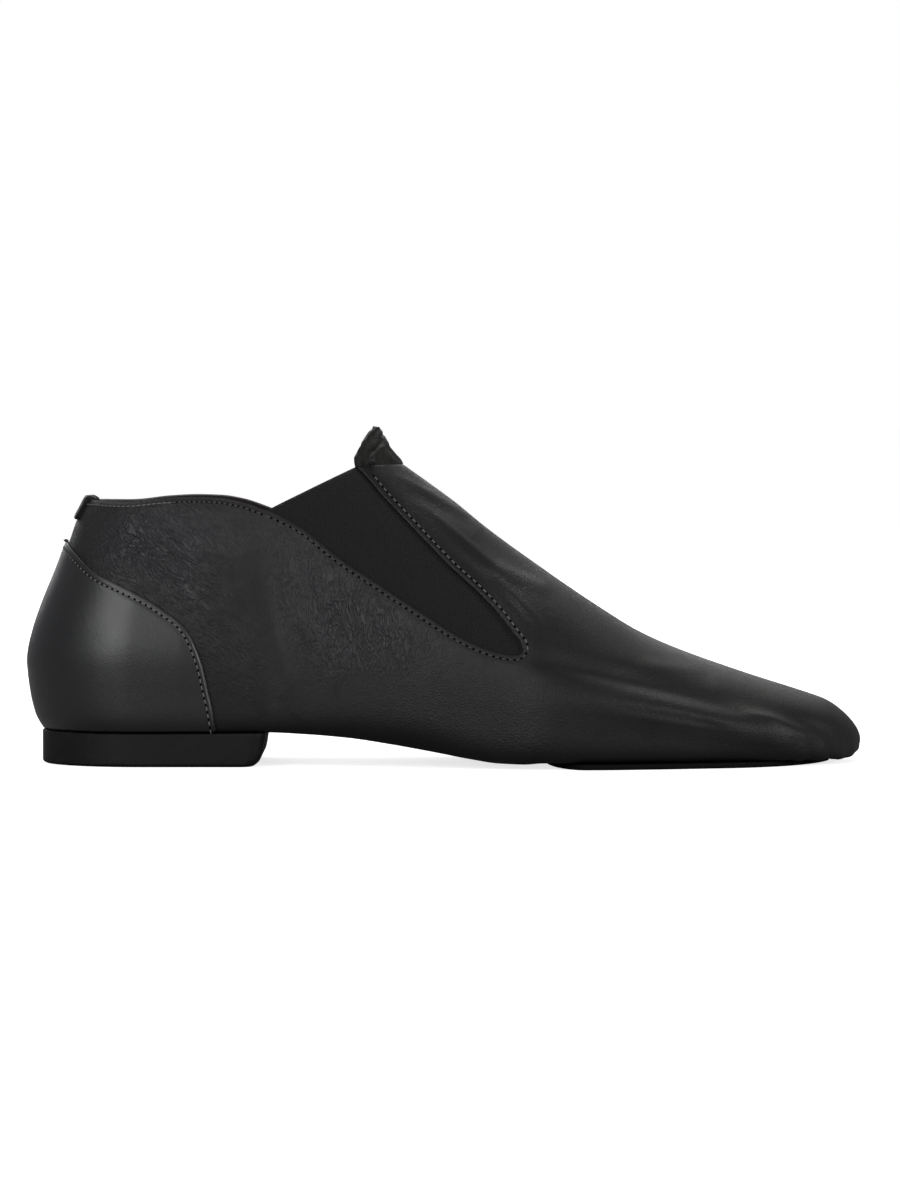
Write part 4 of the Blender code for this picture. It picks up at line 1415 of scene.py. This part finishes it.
def makeStitches():
    # A row beside the collar and round each gore, paler at the back and in front of the gore, and one
    # inside the counter's edge, with a near-black spindle of painted shade for the stitch hole between
    # every two stitches
    around = np.concatenate([toplineSeam, frontSeam[::-1][1:]])
    around = offsetLine(around, upperLook["stitchInset"])
    topRow, frontRow = around[: len(toplineSeam)], around[len(toplineSeam) - 1:]
    collar = topRow[toplineAlong <= goreStart]
    rows = {
        "collar_back": (topRow[topRow[:, 0] < stitchLook["lightUntil"]], greyThread),
        "collar": (collar[collar[:, 0] >= stitchLook["lightUntil"]], darkThread),
        "gore_lower": (topRow[toplineAlong >= goreStart], darkThread),
        "gore_front": (frontRow[frontRow[:, 1] < upperLook["frontRowTop"]], greyThread),
    }
    counterRow = offsetLine(counterLine, -counterLook["stitchInset"])
    for label, side in (("outer", outer), ("inner", inner)):
        for name, (line, thread) in rows.items():
            row = rowOn(side, line, stitchLook["lift"], upperRelief, 0)
            stitchRow("stitches_" + name + "_" + label, [row], stitchLook["size"], thread)
        row = rowOn(side, counterRow, stitchLook["counterLift"], counterRelief, 0)
        stitchRow("stitches_counter_" + label, [row], stitchLook["size"], greyThread)
        # Dark spindles of painted shade where the stitch holes are
        holeShades = [rowOn(side, rows[name][0], 0.0, upperRelief, 2)
                 for name in ("collar", "gore_lower", "gore_front")]
        holeShades.append(rowOn(side, counterRow, stitchLook["counterHoleShadeLift"], counterRelief, 2))
        stitchRow("hole_shades_" + label, holeShades, stitchLook["holeShadeSize"], holeShade)


makeStitches()
print("stitches made")


# Stage, light and camera

stageLook = {
    "floorColour": (0.86, 0.86, 0.86),
    "backColour": (1.0, 1.0, 1.0),
    "floorGlow": 0.75,
    "floorRadius": 12.0,
    "floorSeenByShoe": (0.27, 0.27, 0.27),
    "skyLow": (0.210, 0.215, 0.226),
    "skyHigh": (0.235, 0.235, 0.235),
    "sunPower": 0.27,
    "sunSpread": 70.0,
    "sunTilt": -42.0,
    "cameraDistance": 1.8,
    "sensorWidth": 36.0,
    "cameraHeight": 0.116,
    "lookAt": (0.001, 0.0, 0.0487),
    "frameHeight": 0.3614,
}


def makeFloor():
    # A round floor: paler and glowing a little for the camera, darker as the shoe sees it
    turn = np.linspace(0, 2 * math.pi, 65)[:-1]
    radius = stageLook["floorRadius"]
    rim = np.column_stack([radius * np.cos(turn), radius * np.sin(turn), 0 * turn])
    points = np.concatenate([[[0, 0, 0]], rim])
    i = np.arange(64)
    faces = np.stack([np.zeros(64, int), i + 1, (i + 1) % 64 + 1], -1)
    mesh = bpy.data.meshes.new("floor")
    mesh.from_pydata(points.tolist(), [], faces.tolist())
    made = addToScene("floor", mesh)
    material = bpy.data.materials.new("pale floor")
    material.use_nodes = True
    shader = material.node_tree.nodes["Principled BSDF"]
    shader.inputs["Roughness"].default_value = 0.9
    shader.inputs["Specular IOR Level"].default_value = 0.1
    tree = material.node_tree
    seen = tree.nodes.new("ShaderNodeLightPath").outputs["Is Camera Ray"]
    tree.links.new(mixColour(tree, seen, stageLook["floorSeenByShoe"], stageLook["floorColour"]),
                   shader.inputs["Base Color"])
    shader.inputs["Emission Color"].default_value = (1, 1, 1, 1)
    tree.links.new(mathNode(tree, "MULTIPLY", seen, stageLook["floorGlow"]),
                   shader.inputs["Emission Strength"])
    mesh.materials.append(material)


def makeWorld():
    # The camera sees a pale ground; everything else is lit by a sky that is brighter overhead
    world = bpy.data.worlds.new("studio")
    bpy.context.scene.world = world
    world.use_nodes = True
    tree = world.node_tree
    seen = tree.nodes["Background"]
    seen.inputs["Color"].default_value = (*stageLook["backColour"], 1)
    sky = tree.nodes.new("ShaderNodeBackground")
    coordinates = tree.nodes.new("ShaderNodeTexCoord").outputs["Generated"]
    parts = tree.nodes.new("ShaderNodeSeparateXYZ")
    tree.links.new(coordinates, parts.inputs[0])
    upwards = rampNode(tree, parts.outputs["Z"], 0.05, 0.9)
    tree.links.new(mixColour(tree, upwards, stageLook["skyLow"], stageLook["skyHigh"]),
                   sky.inputs["Color"])
    path = tree.nodes.new("ShaderNodeLightPath")
    mix = tree.nodes.new("ShaderNodeMixShader")
    tree.links.new(path.outputs["Is Camera Ray"], mix.inputs["Fac"])
    tree.links.new(sky.outputs[0], mix.inputs[1])
    tree.links.new(seen.outputs[0], mix.inputs[2])
    tree.links.new(mix.outputs[0], tree.nodes["World Output"].inputs["Surface"])


def areaLight(name, place, aim, width, height, power, colour):
    # A rectangular lamp, tilted from straight down and turned about Z so that it faces its aim
    data = bpy.data.lights.new(name, "AREA")
    data.shape = "RECTANGLE"
    data.size = width
    data.size_y = height
    data.energy = power
    data.color = colour
    made = addToScene(name, data)
    made.location = place
    direction = np.array(aim) - np.array(place)
    distance = np.linalg.norm(direction)
    made.rotation_euler = (math.acos(-direction[2] / distance), 0,
                           math.atan2(direction[1], direction[0]) - math.pi / 2)


def makeSun():
    # A wide soft source overhead, a little behind the shoe, that lights the floor evenly
    data = bpy.data.lights.new("overhead", "SUN")
    data.energy = stageLook["sunPower"]
    data.angle = math.radians(stageLook["sunSpread"])
    data.color = (1.0, 0.98, 0.95)
    made = addToScene("overhead", data)
    made.rotation_euler = (math.radians(stageLook["sunTilt"]), 0, 0)


lights = [
    # name, place, aim, width, height, power, colour
    ("key", (-0.66, -1.60, 0.42), (-0.09, 0, 0.04), 0.90, 0.50, 9.4, (0.98, 0.99, 1.0)),
    ("upper left", (-1.20, -1.25, 1.00), (-0.08, 0, 0.05), 0.60, 0.60, 7.6, (0.98, 0.99, 1.0)),
    ("right", (1.50, -0.90, 0.50), (0.08, 0, 0.02), 0.60, 0.60, 12.5, (1.0, 0.99, 0.97)),
    ("back fill", (-0.30, 1.60, 0.50), (0, 0, 0.04), 1.20, 0.60, 7.0, (0.98, 0.99, 1.0)),
    ("back top", (0.0, 0.90, 1.50), (0.02, 0, 0.03), 1.00, 0.70, 9.0, (1.0, 0.98, 0.95)),
]


def makeCamera():
    # Level with the world's X; its lens is the sensor times distance over the height to be seen
    data = bpy.data.cameras.new("camera")
    made = addToScene("camera", data)
    bpy.context.scene.camera = made
    look = np.array(stageLook["lookAt"])
    place = np.array([look[0], -stageLook["cameraDistance"], stageLook["cameraHeight"]])
    distance = np.linalg.norm(look - place)
    data.sensor_width = stageLook["sensorWidth"]
    data.lens = stageLook["sensorWidth"] * distance / stageLook["frameHeight"]
    made.location = place
    pitch = math.atan2(place[2] - look[2], stageLook["cameraDistance"])
    made.rotation_euler = (math.pi / 2 - pitch, 0, 0)
    data.clip_end = 100.0


makeFloor()
makeWorld()
makeSun()
for light in lights:
    areaLight(*light)
makeCamera()
bpy.context.scene.view_settings.view_transform = "Standard"
print("stage made")
